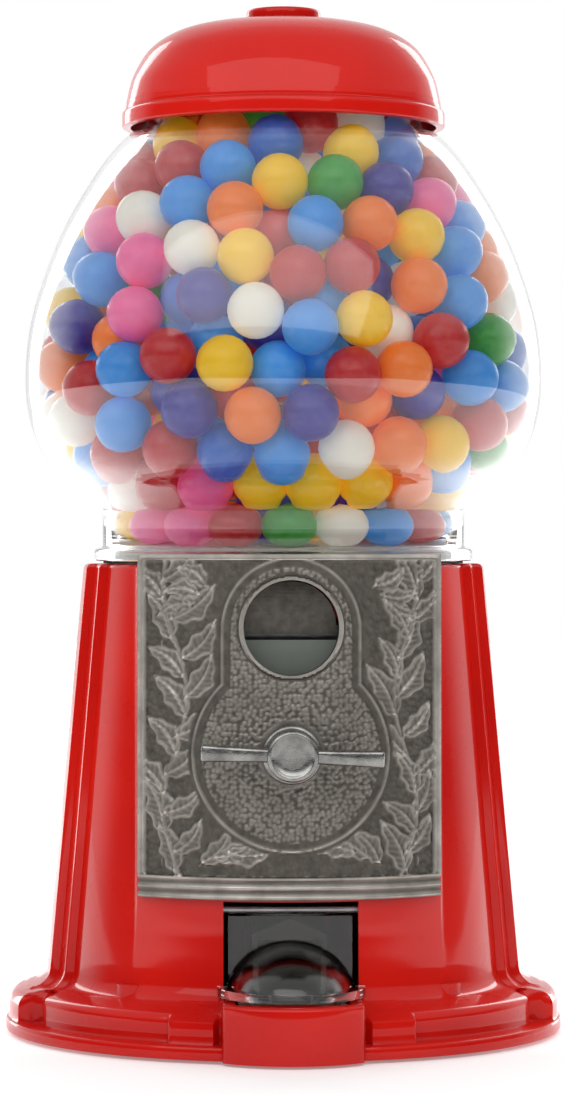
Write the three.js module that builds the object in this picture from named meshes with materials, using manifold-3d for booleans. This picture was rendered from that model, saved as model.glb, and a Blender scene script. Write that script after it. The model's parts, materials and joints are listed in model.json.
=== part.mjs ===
// A gumball vending machine: a die-cast base with a coin mechanism behind a curved faceplate,
// a glass globe clamped between base and lid by one long centre rod, and a flap over the chute.
// Millimetres, +Z up, the front faces -Y. The machine is modelled about the centre rod's axis, and
// the finished group is shifted along Y so that the origin is under the middle of its outline.
import * as THREE from 'three';
import { mergeVertices } from 'three/addons/utils/BufferGeometryUtils.js';
import Module from 'manifold-3d';

const wasm = await Module();
wasm.setup();

// ---------------------------------------------------------------- driving sizes

// Gaps between pieces.
const SEAT_GAP = 0.3; // pieces that rest on, or are pressed against, each other
const RUN_GAP = 0.4; // a turning piece and what it turns in

// What the machine sells and takes.
const BALL_DIAMETER = 15.5;
const COIN_DIAMETER = 24.3;

// Globe.
const GLASS_WALL = 2.5;
const NECK_RADIUS = 51.9;
const NECK_HEIGHT = 14.7;
const GLASS_FOOT_OUT = 2.3; // how far the foot stands out from the neck
const GLASS_FOOT_HEIGHT = 4.3;
const GLOBE_RADIUS = 74.0;
const MOUTH_RADIUS = 36.7;
const GLOBE_HEIGHT = 129.7; // from the deck to the mouth
const GASKET_THICKNESS = 0.6;

// Base casting.
const DECK_HEIGHT = 133.7;
const DECK_RIM = 3.2; // how far the deck's pilasters reach past the glass foot
const DECK_EDGE = 1.5; // rounding of the deck's edge
const BODY_FLARE = 10.7; // how much wider the body is at its foot than at its deck
const BODY_FOOT_HEIGHT = 16.0;
const PANEL_DEPTH_FOOT = 5.0; // how far the front and back panels lie inside the pilasters
const PANEL_DEPTH_TOP = 4.2;
const RING_OUT = 10.5; // the ring under the pilasters, past the body's foot
const RING_PANEL_OUT = 5.5; // the ring under the panels, past the body's foot
const RING_HEIGHT = 13.6;
const RING_EDGE = 3.0; // rounding of the ring's top edge
const LIP_OUT = 1.0; // the standing lip, past the ring
const LIP_TOP = 4.6;
const FOOT_PROUD = 0.8; // how far the rubber feet stand below the casting
const CAST_WALL = 3.0;
const PANEL_ANGLE = 71.9; // half of a panel, in degrees round the body
const TIER_ANGLE = 78.5; // where the step beside a panel ends and the pilaster begins
const RING_PANEL_ANGLE = 68.3;
const RING_TIER_ANGLE = 73.0;
const BOSS_OUT = 4.1; // the flat-sided boss behind the faceplate, past the deck's pilasters
const BOSS_MARGIN = 0.7; // how far the boss reaches past the faceplate at each side
const BOSS_BOTTOM = 30.0;

// Apron in front of the chute, and the blocks beside it.
const APRON_HALF_WIDTH = 19.1;
const APRON_HEIGHT = 16.2;
const APRON_REACH = 7.6; // past the standing lip
const APRON_ARC = 27.5;
const BLOCK_INNER = 21.0;
const BLOCK_OUTER = 34.0;
const BLOCK_PROUD = 3.0;
const BLOCK_HEIGHT = 11.8;

// Chute opening and flap.
const OPENING_HALF_WIDTH = 18.4;
const OPENING_ROOM = 9.5; // above a gumball that lies in the opening
const FLAP_HALF_WIDTH = 17.0;
const FLAP_THICKNESS = 1.8;
const FLAP_BOTTOM = 17.0;
const FLAP_PIN_RADIUS = 1.2;
const FLAP_BARREL_RADIUS = 2.1;
const PIN_EAR = 3.4; // length of the ear that holds each end of the flap's pin
const FLAP_RECESS = 7.0; // how far the flap's sheet stands back inside the opening
const SCOOP_HALF_WIDTH = 17.4;
const SCOOP_REACH = 30.3;
const SCOOP_HEIGHT = 13.6;
const SCOOP_WALL = 1.4;
const SCOOP_RIM_HALF_WIDTH = 20.2;
const SCOOP_RIM_REACH = 23.5;
const SCOOP_RIM_HEIGHT = 2.3;

// Faceplate.
const PLATE_HALF_WIDTH = 41.2;
const PLATE_ABOVE_DECK = 2.9;
const PLATE_THICKNESS = 1.7;
const PLATE_BORDER = 0.6; // how far its border stands above its field
const PLATE_BORDER_WIDTH = 1.9;
const WINDOW_RISE = 34.3; // from the handle's shaft to the coin window
const WINDOW_RADIUS = 13.0;
const WINDOW_WALL = 1.3;

// Gumball wheel and the floor that it turns on.
const WHEEL_PROUD = 2.7; // its top, above the deck
const WHEEL_GAP = 0.9; // between the wheel and the neck
const POCKET_COUNT = 4;
const POCKET_ROOM = 1.25; // between a gumball and its pocket's wall
const POCKET_WALL = 1.5;
const FLOOR_THICKNESS = 2.0;

// Handle, shaft and gears.
const SHAFT_DROP = 36.6; // from the underside of the floor
const SHAFT_RADIUS = 3.0;
const HANDLE_LENGTH = 49.4;
const HANDLE_HEIGHT = 4.6;
const HANDLE_DEPTH = 5.0;
const HANDLE_HUB_RADIUS = 7.0;
const HANDLE_HUB_DEPTH = 7.6;
const HANDLE_TILT = 2.1; // degrees, right end low
const COLLAR_RADIUS = 8.1;
const COLLAR_DEPTH = 2.8;
const PINION_TEETH = 8;
const CROWN_TEETH = PINION_TEETH * POCKET_COUNT;
const GEAR_FACE = 5.0;

// Coin mechanism.
const COIN_WHEEL_THICKNESS = 2.4;
const COIN_ROOM = 0.7; // between a coin's edge and the coin wheel's notch
const MECH_PLATE_THICKNESS = 2.0;
const MECH_PLATE_INSET = 4.4; // its side edges, inside the boss's sides
const MECH_SCREW_INSET = 4.5; // its screws, inside its side edges
const MECH_POST_RADIUS = 2.4;
const PAWL_PIN_RADIUS = 1.5;
const PAWL_PIN_X = 21.0;
const PAWL_PIN_RISE = 9.0; // above the handle's shaft
const PAWL_EYE_RADIUS = 3.2;
const COIN_LIP_DROP = 3.4; // its top edge, below the window's middle
const COIN_SLOT = 1.5; // between the lip and the dish above it
const RATCHET_RADIUS = 13.0;
const RATCHET_TEETH = 12;
const RATCHET_THICKNESS = 2.0;
const RATCHET_TOOTH = 2.2;

// Centre rod, lid and its nut.
const ROD_RADIUS = 2.5;
const ROD_SHOULDER_RADIUS = 4.5;
const NUT_CORNER_RADIUS = 4.8;
const NUT_HEIGHT = 3.4;
const GUARD_THICKNESS = 1.4;
const LID_OVERHANG = 9.6; // the lid's rim, past the globe's mouth
const LID_RIM_HEIGHT = 4.8;
const LID_HEIGHT = 30.6;
const LID_WALL = 2.2;
const KNOB_RADIUS = 10.6;
const KNOB_HEIGHT = 3.0;

// Chute.
const CHUTE_WALL = 1.4;
const CHUTE_SLOPE = 0.17;
const TRAY_SLOPE = 0.05;
const TRAY_FLOOR = 12.0; // top of the tray's floor at its front end
const CHUTE_TRAY_HALF_WIDTH = 14.5;

// Bottom plate and what is on it.
const BOTTOM_INSET = 3.6; // its edge, inside the ring's panels
const BOTTOM_THICKNESS = 1.8;
const PAD_RADIUS = 6.0;
const PAD_INSET = 10.0; // the pads' middles, inside the plate's edge
const POST_INSET = 2.1; // the screw posts' middles, inside the body's foot
const POST_RADIUS = 4.5;
const POST_TOP = 18.0;
const SCREW_BORE = 1.6; // hole that a screw cuts its own thread in
const COIN_PLUG_RADIUS = 13.6;
const COIN_PLUG_WALL = 1.4;
const COIN_PLUG_FLANGE = 3.0;
const COIN_PLUG_INSET = 34.0; // its middle, inside the plate's edge

// Fastening screws.
const SCREW_RADIUS = 1.3;
const SCREW_HEAD_RADIUS = 2.7;
const SCREW_HEAD_HEIGHT = 1.0;
const BOTTOM_SCREW_LENGTH = 11.0;
const BRIDGE_SCREW_LENGTH = 9.0;
const MECH_SCREW_LENGTH = 8.0;

// Gear bridge.
const BRIDGE_THICKNESS = 3.0;
const BRIDGE_DEPTH = 12.0;
const BRIDGE_FOOT_DROP = 8.5; // its feet, below the floor
const BRIDGE_FOOT_OUT = 4.5; // how far a foot reaches past its screw
const BRIDGE_LEG_INSET = 6.0; // its legs, inside its screws
const BRIDGE_BOSS_RADIUS = 3.8;

// ---------------------------------------------------------------- sizes that follow

const BODY_TOP_RADIUS = NECK_RADIUS + GLASS_FOOT_OUT + DECK_RIM;
const BODY_FOOT_RADIUS = BODY_TOP_RADIUS + BODY_FLARE;
const RING_RADIUS = BODY_FOOT_RADIUS + RING_OUT;
const RING_PANEL_RADIUS = BODY_FOOT_RADIUS + RING_PANEL_OUT;
const LIP_RADIUS = RING_RADIUS + LIP_OUT;
const BOSS_RADIUS = BODY_TOP_RADIUS + BOSS_OUT;
const BOSS_INNER_RADIUS = BOSS_RADIUS - CAST_WALL;
const BOSS_HALF_WIDTH = PLATE_HALF_WIDTH + BOSS_MARGIN;
const APRON_FRONT = -(LIP_RADIUS + APRON_REACH);
const OPENING_TOP = FLAP_BOTTOM + BALL_DIAMETER + OPENING_ROOM;

const WELL_RADIUS = NECK_RADIUS - GLASS_WALL + 0.2;
const WELL_OUTER = WELL_RADIUS + 2.5;
const INSIDE_Y = -(WELL_RADIUS - 9.6); // a place in the hollow, well behind the front wall
const WHEEL_RADIUS = NECK_RADIUS - GLASS_WALL - WHEEL_GAP;
const POCKET_RADIUS = BALL_DIAMETER / 2 + POCKET_ROOM;
const POCKET_CIRCLE = WHEEL_RADIUS - POCKET_RADIUS - POCKET_WALL;
const WHEEL_TOP = DECK_HEIGHT + WHEEL_PROUD;
const FLOOR_TOP = WHEEL_TOP - BALL_DIAMETER;
const FLOOR_BOTTOM = FLOOR_TOP - FLOOR_THICKNESS;
const SHAFT_Z = FLOOR_BOTTOM - SHAFT_DROP;
const WINDOW_Z = SHAFT_Z + WINDOW_RISE;

const PLATE_INNER_RADIUS = BOSS_RADIUS + SEAT_GAP;
const PLATE_RADIUS = PLATE_INNER_RADIUS + PLATE_THICKNESS;
const PLATE_TOP = DECK_HEIGHT + PLATE_ABOVE_DECK;
const PLATE_BOTTOM = OPENING_TOP + 0.6;
const MOUNT_HOLE_HALF_WIDTH = BOSS_HALF_WIDTH - 5.9;
const MOUNT_HOLE_BOTTOM = PLATE_BOTTOM + 4;
const MOUNT_HOLE_TOP = DECK_HEIGHT - CAST_WALL - 1;

const MECH_PLATE_HALF_WIDTH = BOSS_HALF_WIDTH - MECH_PLATE_INSET;
const MECH_PLATE_BOTTOM = MOUNT_HOLE_BOTTOM + 1.7;
const MECH_PLATE_TOP = FLOOR_BOTTOM - 2;
const MECH_SCREW_X = MECH_PLATE_HALF_WIDTH - MECH_SCREW_INSET;
const MECH_SCREW_LOW = MECH_PLATE_BOTTOM + 4.3;
const MECH_SCREW_HIGH = MECH_PLATE_TOP - 4.9;

// Planes of the coin mechanism, front to back: its back plate rests on the boss's inner wall.
const MECH_PLATE_FRONT = -Math.sqrt(BOSS_INNER_RADIUS ** 2 - MECH_PLATE_HALF_WIDTH ** 2) + 0.9;
const MECH_PLATE_BACK = MECH_PLATE_FRONT + MECH_PLATE_THICKNESS;
const RATCHET_BACK = MECH_PLATE_FRONT - 0.6;
const RATCHET_FRONT = RATCHET_BACK - RATCHET_THICKNESS;
const COIN_WHEEL_BACK = -WELL_OUTER - 0.9;
const COIN_WHEEL_FRONT = COIN_WHEEL_BACK - COIN_WHEEL_THICKNESS;
const COIN_WHEEL_RADIUS = Math.sqrt(PLATE_INNER_RADIUS ** 2 - COIN_WHEEL_FRONT ** 2) - 0.9;
const LIP_BACK = COIN_WHEEL_FRONT - RUN_GAP;
const LIP_FRONT = LIP_BACK - 1.2;
const COIN_LIP_TOP = WINDOW_Z - COIN_LIP_DROP;
const DISH_BOTTOM = COIN_LIP_TOP + COIN_SLOT;
const COLLAR_SLEEVE = SHAFT_RADIUS + 2.0;
const PAWL_PIN_Z = SHAFT_Z + PAWL_PIN_RISE;

// The crown gear fills the room beside the chute's drop tube, and sets the size of the teeth.
const TUBE_RADIUS = POCKET_RADIUS + 0.6;
const CROWN_RADIUS = POCKET_CIRCLE - TUBE_RADIUS - CHUTE_WALL - 0.5;
const CROWN_PITCH = CROWN_RADIUS - GEAR_FACE / 2;
const GEAR_MODULE = (2 * CROWN_PITCH) / CROWN_TEETH;
const PINION_PITCH = (PINION_TEETH * GEAR_MODULE) / 2;
const TOOTH_TIP = 0.8 * GEAR_MODULE; // tooth above its pitch line
const TOOTH_ROOT = 1.1 * GEAR_MODULE; // tooth below its pitch line
const CROWN_PITCH_Z = SHAFT_Z + PINION_PITCH;
const HUB_RADIUS = ROD_RADIUS + 4.0;
const HUB_BORE = ROD_RADIUS + RUN_GAP;
const BRIDGE_TOP = SHAFT_Z - 9.3;
const BRIDGE_HALF_WIDTH = WELL_RADIUS - 8.6;
const BRIDGE_FOOT_Z = FLOOR_BOTTOM - BRIDGE_FOOT_DROP;
const SHAFT_FRONT = -(PLATE_RADIUS + 9.9);
const SHAFT_BACK = -9.6;
const COLLAR_FRONT = -(PLATE_RADIUS + COLLAR_DEPTH + 0.8);
const HANDLE_BACK = COLLAR_FRONT - SEAT_GAP;
const HANDLE_FRONT = HANDLE_BACK - HANDLE_HUB_DEPTH;

const GLASS_BOTTOM = DECK_HEIGHT + GASKET_THICKNESS + 0.2;
const MOUTH_Z = DECK_HEIGHT + GLOBE_HEIGHT;
const LID_RADIUS = MOUTH_RADIUS + LID_OVERHANG;
const LID_BOTTOM = MOUTH_Z - LID_RIM_HEIGHT;
const LID_TOP = LID_BOTTOM + LID_HEIGHT;
const KNOB_BOTTOM = LID_TOP + SEAT_GAP;
const KNOB_TOP = KNOB_BOTTOM + KNOB_HEIGHT;
const ROD_TOP = KNOB_TOP - 1.6;
const ROD_BOTTOM = BRIDGE_TOP - BRIDGE_THICKNESS - 6;

const LID_SEAT_Z = MOUTH_Z + 1.6; // underside of the lid's seat, above the gasket
const WHEEL_BOTTOM = FLOOR_TOP + RUN_GAP;
const HUB_TOP = WHEEL_TOP - 1.0;
const HUB_FIT = HUB_RADIUS + SEAT_GAP; // the wheel's hexagonal hole, corner to axis
const GUARD_BOTTOM = WHEEL_TOP + RUN_GAP;
const GUARD_TOP = GUARD_BOTTOM + GUARD_THICKNESS;

const BOTTOM_PLATE_TOP = LIP_TOP - 1.0;
const BOTTOM_PLATE_BOTTOM = BOTTOM_PLATE_TOP - BOTTOM_THICKNESS;
const BOTTOM_RADIUS = RING_PANEL_RADIUS - BOTTOM_INSET;
const PAD_CIRCLE = BOTTOM_RADIUS - PAD_INSET;
const POST_CIRCLE = BODY_FOOT_RADIUS - PANEL_DEPTH_FOOT - POST_INSET;
const COIN_PLUG_X = BOTTOM_RADIUS - COIN_PLUG_INSET;

const RING_SEGMENTS = 32; // facets of the globe, lid and other large rings

// ---------------------------------------------------------------- geometry helpers

const radians = THREE.MathUtils.degToRad;

/** A closed ring of revolution about Z, from [radius, height] pairs. */
function revolveZ(profile, segments = RING_SEGMENTS) {
  const points = profile.map(([radius, height]) => new THREE.Vector2(radius, height));
  const onAxis = points[0].x === 0 && points.at(-1).x === 0;
  if (!onAxis) points.push(points[0].clone());
  return new THREE.LatheGeometry(points, segments).rotateX(Math.PI / 2);
}

/** The same about the Y axis at the shaft's height; the heights are places along Y. */
function revolveShaft(profile, segments = 24) {
  return revolveZ(profile, segments).rotateX(-Math.PI / 2).translate(0, 0, SHAFT_Z);
}

function cylinderZ(radius, bottom, top, x = 0, y = 0, segments = 24) {
  const tube = new THREE.CylinderGeometry(radius, radius, top - bottom, segments);
  return tube.rotateX(Math.PI / 2).translate(x, y, (top + bottom) / 2);
}

function cylinderY(radius, front, back, x = 0, z = 0, segments = 24) {
  const tube = new THREE.CylinderGeometry(radius, radius, back - front, segments);
  return tube.translate(x, (front + back) / 2, z);
}

function cylinderX(radius, left, right, y, z, segments = 16) {
  const tube = new THREE.CylinderGeometry(radius, radius, right - left, segments);
  return tube.rotateZ(Math.PI / 2).translate((left + right) / 2, y, z);
}

function block(x0, x1, y0, y1, z0, z1) {
  const cube = new THREE.BoxGeometry(x1 - x0, y1 - y0, z1 - z0);
  return cube.translate((x0 + x1) / 2, (y0 + y1) / 2, (z0 + z1) / 2);
}

/** A plan outline in X and Y, raised from bottom to top. */
function prismZ(shape, bottom, top, curveSegments = 24) {
  const options = { depth: top - bottom, bevelEnabled: false, curveSegments };
  return new THREE.ExtrudeGeometry(shape, options).translate(0, 0, bottom);
}

/** A front outline in X and Z, carried from front to back. */
function prismY(shape, front, back, curveSegments = 12) {
  const options = { depth: back - front, bevelEnabled: false, curveSegments };
  return new THREE.ExtrudeGeometry(shape, options).rotateX(Math.PI / 2).translate(0, back, 0);
}

/** A side outline in Y and Z, carried from left to right. */
function prismX(shape, left, right) {
  const options = { depth: right - left, bevelEnabled: false };
  const solidShape = new THREE.ExtrudeGeometry(shape, options);
  return solidShape.rotateX(Math.PI / 2).rotateZ(Math.PI / 2).translate(left, 0, 0);
}

function polygon(pairs) {
  return new THREE.Shape(pairs.map(([a, b]) => new THREE.Vector2(a, b)));
}

function circleHole(radius, x = 0, y = 0) {
  return new THREE.Path().absarc(x, y, radius, 0, 2 * Math.PI, true);
}

/** A solid for cutting and joining, from a geometry or a solid. */
function solidOf(geometry) {
  if (!geometry.isBufferGeometry) return geometry;
  const bare = geometry.clone();
  bare.deleteAttribute('normal');
  bare.deleteAttribute('uv');
  const merged = mergeVertices(bare);
  return new wasm.Manifold(
    new wasm.Mesh({
      numProp: 3,
      vertProperties: new Float32Array(merged.attributes.position.array),
      triVerts: new Uint32Array(merged.index.array),
    }),
  );
}

function join(first, ...others) {
  return others.reduce((whole, piece) => whole.add(solidOf(piece)), solidOf(first));
}

function cut(first, ...tools) {
  return tools.reduce((whole, tool) => whole.subtract(solidOf(tool)), solidOf(first));
}

function common(first, second) {
  return solidOf(first).intersect(solidOf(second));
}

function geometryOf(solid) {
  if (solid.isBufferGeometry) return solid;
  const mesh = solid.getMesh();
  const geometry = new THREE.BufferGeometry();
  geometry.setAttribute('position', new THREE.BufferAttribute(mesh.vertProperties, 3));
  geometry.setIndex(new THREE.BufferAttribute(mesh.triVerts, 1));
  geometry.computeVertexNormals();
  return geometry;
}

/** A closed solid through a stack of outlines, each a list of [x, y, z] with the same count. */
function loft(levels) {
  const count = levels[0].length;
  const positions = levels.flat();
  const faces = [];
  for (let level = 0; level + 1 < levels.length; level++) {
    for (let i = 0; i < count; i++) {
      const here = level * count + i;
      const next = level * count + ((i + 1) % count);
      faces.push(here, next, next + count, here, next + count, here + count);
    }
  }
  const bottom = positions.push([0, 0, levels[0][0][2]]) - 1;
  const top = positions.push([0, 0, levels.at(-1)[0][2]]) - 1;
  const last = (levels.length - 1) * count;
  for (let i = 0; i < count; i++) {
    const next = (i + 1) % count;
    faces.push(bottom, next, i, top, last + i, last + next);
  }
  const geometry = new THREE.BufferGeometry();
  geometry.setAttribute('position', new THREE.Float32BufferAttribute(positions.flat(), 3));
  geometry.setIndex(faces);
  return geometry;
}

/** Points on a spline through [radius, height] pairs. */
function smooth(profile, steps) {
  const curve = new THREE.SplineCurve(profile.map(([r, z]) => new THREE.Vector2(r, z)));
  return curve.getPoints(steps).map((point) => [point.x, point.y]);
}

// ---------------------------------------------------------------- finishes

function finish(color, roughness, metalness) {
  return { color, roughness, metalness };
}

const RED_PAINT = finish(0xc32014, 0.22, 0.0);
const PEWTER = finish(0x5a5650, 0.45, 0.9);
const CHROME = finish(0xb9b6ae, 0.25, 1.0);
const STEEL = finish(0x9a9ca0, 0.4, 1.0);
const GLASS = finish(0xdfe9e6, 0.05, 0.0);
const CLEAR_PLASTIC = finish(0x6d6a66, 0.1, 0.0);
const WHITE_PLASTIC = finish(0xe8e6df, 0.45, 0.0);
const GREY_PLASTIC = finish(0xa9aca4, 0.5, 0.0);
const BLACK_PLASTIC = finish(0x1c1c1e, 0.5, 0.0);
const RUBBER = finish(0x202020, 0.9, 0.0);

const machine = new THREE.Group();
machine.position.y = -(APRON_FRONT + LIP_RADIUS) / 2;

function piece(name, shape, look) {
  const material = new THREE.MeshStandardMaterial(look);
  const mesh = new THREE.Mesh(geometryOf(shape), material);
  mesh.name = name;
  machine.add(mesh);
}

// ---------------------------------------------------------------- base casting

/** Radius at a height on the tapered body, between its value at the foot and at the deck. */
function taper(foot, top, height) {
  return THREE.MathUtils.mapLinear(height, BODY_FOOT_HEIGHT, DECK_HEIGHT - DECK_EDGE, foot, top);
}

function panelRadius(height) {
  return taper(BODY_FOOT_RADIUS - PANEL_DEPTH_FOOT, BODY_TOP_RADIUS - PANEL_DEPTH_TOP, height);
}

function arcPoints(radius, from, to, steps) {
  const points = [];
  for (let i = 0; i <= steps; i++) {
    const angle = radians(from + ((to - from) * i) / steps);
    points.push([radius * Math.sin(angle), radius * Math.cos(angle)]);
  }
  return points;
}

/** The stepped plan: panels front and back, pilasters at the sides, one step between them. */
function steppedPlan({ panel, tier, pilaster, z, panelAngle, tierAngle }) {
  const quarter = [
    ...arcPoints(panel, 0, panelAngle, 8),
    ...arcPoints(tier, panelAngle, tierAngle, 1),
    ...arcPoints(pilaster, tierAngle, 90, 2),
  ];
  const half = [...quarter, ...quarter.slice(0, -1).reverse().map(([x, y]) => [x, -y])];
  const whole = [...half, ...half.slice(1, -1).reverse().map(([x, y]) => [-x, y])];
  return whole.reverse().map(([x, y]) => [x, y, z]);
}

function roundPlan(radius, z, panelAngle = RING_PANEL_ANGLE, tierAngle = RING_TIER_ANGLE) {
  return steppedPlan({ panel: radius, tier: radius, pilaster: radius, z, panelAngle, tierAngle });
}

function ringPlan(inset, z) {
  return steppedPlan({
    panel: RING_PANEL_RADIUS - inset,
    tier: RING_PANEL_RADIUS - 1.8 - inset,
    pilaster: RING_RADIUS - inset,
    z,
    panelAngle: RING_PANEL_ANGLE,
    tierAngle: RING_TIER_ANGLE,
  });
}

/** The body's plan at a height, drawn in by an inset that also narrows panels' steps. */
function bodyPlan(z, inset = 0) {
  const panel = panelRadius(z) - inset;
  const pilaster = taper(BODY_FOOT_RADIUS, BODY_TOP_RADIUS, z) - inset;
  const turn = THREE.MathUtils.radToDeg(inset / pilaster);
  return steppedPlan({
    panel,
    tier: (panel + pilaster) / 2,
    pilaster,
    z,
    panelAngle: PANEL_ANGLE + turn,
    tierAngle: TIER_ANGLE + turn,
  });
}

/** The deck's plan drawn in by an inset and lifted to a height, for its rounded edge. */
function deckPlan(inset, height) {
  return bodyPlan(DECK_HEIGHT - DECK_EDGE, inset).map(([x, y]) => [x, y, height]);
}

function castingShell() {
  return loft([
    roundPlan(LIP_RADIUS - 0.8, FOOT_PROUD),
    roundPlan(LIP_RADIUS, FOOT_PROUD + 0.8),
    roundPlan(LIP_RADIUS, LIP_TOP - 0.6),
    roundPlan(LIP_RADIUS - 0.6, LIP_TOP),
    ringPlan(0, LIP_TOP + 0.05),
    ringPlan(0, RING_HEIGHT - RING_EDGE),
    ringPlan(0.3 * RING_EDGE, RING_HEIGHT - 0.3 * RING_EDGE),
    ringPlan(RING_EDGE, RING_HEIGHT),
    bodyPlan(BODY_FOOT_HEIGHT),
    deckPlan(0, DECK_HEIGHT - DECK_EDGE),
    deckPlan(0.3 * DECK_EDGE, DECK_HEIGHT - 0.3 * DECK_EDGE),
    deckPlan(DECK_EDGE, DECK_HEIGHT),
  ]);
}

/** Plan of a disc's front part, cut off at both sides and closed through the axis. */
function frontSector(radius, halfWidth) {
  const edge = Math.asin(halfWidth / radius);
  const shape = new THREE.Shape();
  shape.absarc(0, 0, radius, -Math.PI / 2 - edge, -Math.PI / 2 + edge, false);
  shape.lineTo(halfWidth, -20);
  shape.lineTo(-halfWidth, -20);
  return shape;
}

function apronPlan() {
  const centre = APRON_FRONT + APRON_ARC;
  const edge = Math.asin(APRON_HALF_WIDTH / APRON_ARC);
  const shape = new THREE.Shape();
  shape.absarc(0, centre, APRON_ARC, -Math.PI / 2 - edge, -Math.PI / 2 + edge, false);
  shape.lineTo(APRON_HALF_WIDTH, -BODY_TOP_RADIUS);
  shape.lineTo(-APRON_HALF_WIDTH, -BODY_TOP_RADIUS);
  return shape;
}

/** A block on the ring beside the apron, on the side given by its sign. */
function ringBlock(side) {
  const radius = RING_PANEL_RADIUS + BLOCK_PROUD;
  const inner = Math.asin(BLOCK_INNER / radius);
  const outer = Math.asin(BLOCK_OUTER / radius);
  const shape = new THREE.Shape();
  shape.absarc(0, 0, radius, -Math.PI / 2 + inner, -Math.PI / 2 + outer, false);
  shape.absarc(0, 0, radius - 8, -Math.PI / 2 + outer, -Math.PI / 2 + inner, true);
  const solid = prismZ(shape, FOOT_PROUD, BLOCK_HEIGHT, 4);
  return side > 0 ? solid : solid.rotateZ(-(inner + outer));
}

const FLAP_FRONT = -(panelRadius(OPENING_TOP) - FLAP_RECESS);
const FLAP_BACK = FLAP_FRONT + FLAP_THICKNESS;
const FLAP_PIN_Y = FLAP_FRONT + FLAP_THICKNESS / 2;
const FLAP_PIN_Z = OPENING_TOP - FLAP_BARREL_RADIUS - RUN_GAP;
const PIN_HALF_LENGTH = OPENING_HALF_WIDTH + PIN_EAR - 0.6;

const TRAY_FRONT = -(LIP_RADIUS - 1.6);
const DUCT_FRONT = FLAP_BACK + 1.2;

function cavity() {
  const mouth = BOTTOM_RADIUS - 3.5;
  const inner = (z) => bodyPlan(z, CAST_WALL);
  return loft([
    roundPlan(mouth, 0, PANEL_ANGLE, TIER_ANGLE),
    roundPlan(mouth, RING_HEIGHT - 5, PANEL_ANGLE, TIER_ANGLE),
    inner(BODY_FOOT_HEIGHT),
    inner(FLOOR_BOTTOM),
  ]);
}

/** The space behind the faceplate, in front of the wheel's well. */
function bossPocket() {
  const sector = frontSector(BOSS_INNER_RADIUS, BOSS_HALF_WIDTH - CAST_WALL);
  const whole = prismZ(sector, BOSS_BOTTOM + CAST_WALL, DECK_HEIGHT - CAST_WALL - 0.5);
  const well = cylinderZ(WELL_OUTER, FLOOR_BOTTOM, DECK_HEIGHT + 1, 0, 0, 64);
  return cut(whole, well);
}

/** Four places on a circle, the first turned by an angle in degrees. */
function fourAround(radius, first) {
  return [0, 1, 2, 3].map((i) => {
    const angle = radians(first + 90 * i);
    return [radius * Math.cos(angle), radius * Math.sin(angle)];
  });
}

const POST_PLACES = fourAround(POST_CIRCLE, 45);

/** The casting's outside, solid. */
function castingBody() {
  return join(
    castingShell(),
    prismZ(frontSector(BOSS_RADIUS, BOSS_HALF_WIDTH), BOSS_BOTTOM, DECK_HEIGHT),
    prismZ(apronPlan(), FOOT_PROUD, APRON_HEIGHT, 16),
    ringBlock(1),
    ringBlock(-1),
  );
}

/** An ear that holds one end of the flap's pin, on the side given by its sign. */
function pinEar(side) {
  const middle = side * (OPENING_HALF_WIDTH + PIN_EAR / 2);
  const half = PIN_EAR / 2 + 0.5;
  const [front, back] = [FLAP_PIN_Y - 2.5, FLAP_PIN_Y + 2.5];
  return block(middle - half, middle + half, front, back, FLAP_PIN_Z - 3, OPENING_TOP);
}

/** The posts for the bottom plate's screws and the bosses for the gear bridge's. */
function castingPosts() {
  const posts = POST_PLACES.map(([x, y]) =>
    cylinderZ(POST_RADIUS, BOTTOM_PLATE_TOP + SEAT_GAP, POST_TOP, x, y, 12),
  );
  const bossBottom = BRIDGE_FOOT_Z + BRIDGE_THICKNESS + SEAT_GAP;
  const bosses = [-1, 1].map((side) =>
    cylinderZ(BRIDGE_BOSS_RADIUS, bossBottom, FLOOR_BOTTOM + 0.5, side * BRIDGE_HALF_WIDTH),
  );
  return [...posts, ...bosses];
}

/** What is cut from the front: the mechanism's and window's holes, the chute, the tray's bed. */
function frontCutters() {
  const [hole, opening] = [MOUNT_HOLE_HALF_WIDTH, OPENING_HALF_WIDTH];
  const front = -BOSS_RADIUS - 2;
  const trayHalf = CHUTE_TRAY_HALF_WIDTH + SEAT_GAP + 0.7;
  const trayBottom = TRAY_FLOOR - CHUTE_WALL - SEAT_GAP;
  const pinHalf = PIN_HALF_LENGTH + SEAT_GAP;
  return [
    block(-hole, hole, front, INSIDE_Y, MOUNT_HOLE_BOTTOM, FLOOR_BOTTOM),
    cut(
      block(-hole, hole, front, INSIDE_Y, FLOOR_BOTTOM - 1, MOUNT_HOLE_TOP),
      cylinderZ(WELL_OUTER, 0, DECK_HEIGHT + 1, 0, 0, 64),
    ),
    cylinderY(WINDOW_RADIUS + WINDOW_WALL + SEAT_GAP, front, -WELL_OUTER, 0, WINDOW_Z, 24),
    block(-opening, opening, -LIP_RADIUS, INSIDE_Y, APRON_HEIGHT, OPENING_TOP),
    block(-trayHalf, trayHalf, TRAY_FRONT - SEAT_GAP, INSIDE_Y, trayBottom, APRON_HEIGHT + 1),
    cylinderX(FLAP_PIN_RADIUS + SEAT_GAP, -pinHalf, pinHalf, FLAP_PIN_Y, FLAP_PIN_Z),
  ];
}

/** The floor's two holes, for the drive hub and for the gumball at the exit. */
function floorCutters() {
  const [low, high] = [FLOOR_BOTTOM - 1, FLOOR_TOP + 1];
  return [
    cylinderZ(HUB_RADIUS + RUN_GAP, low, high),
    cylinderZ(POCKET_RADIUS + 0.5, low, high, 0, POCKET_CIRCLE),
  ];
}

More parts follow.
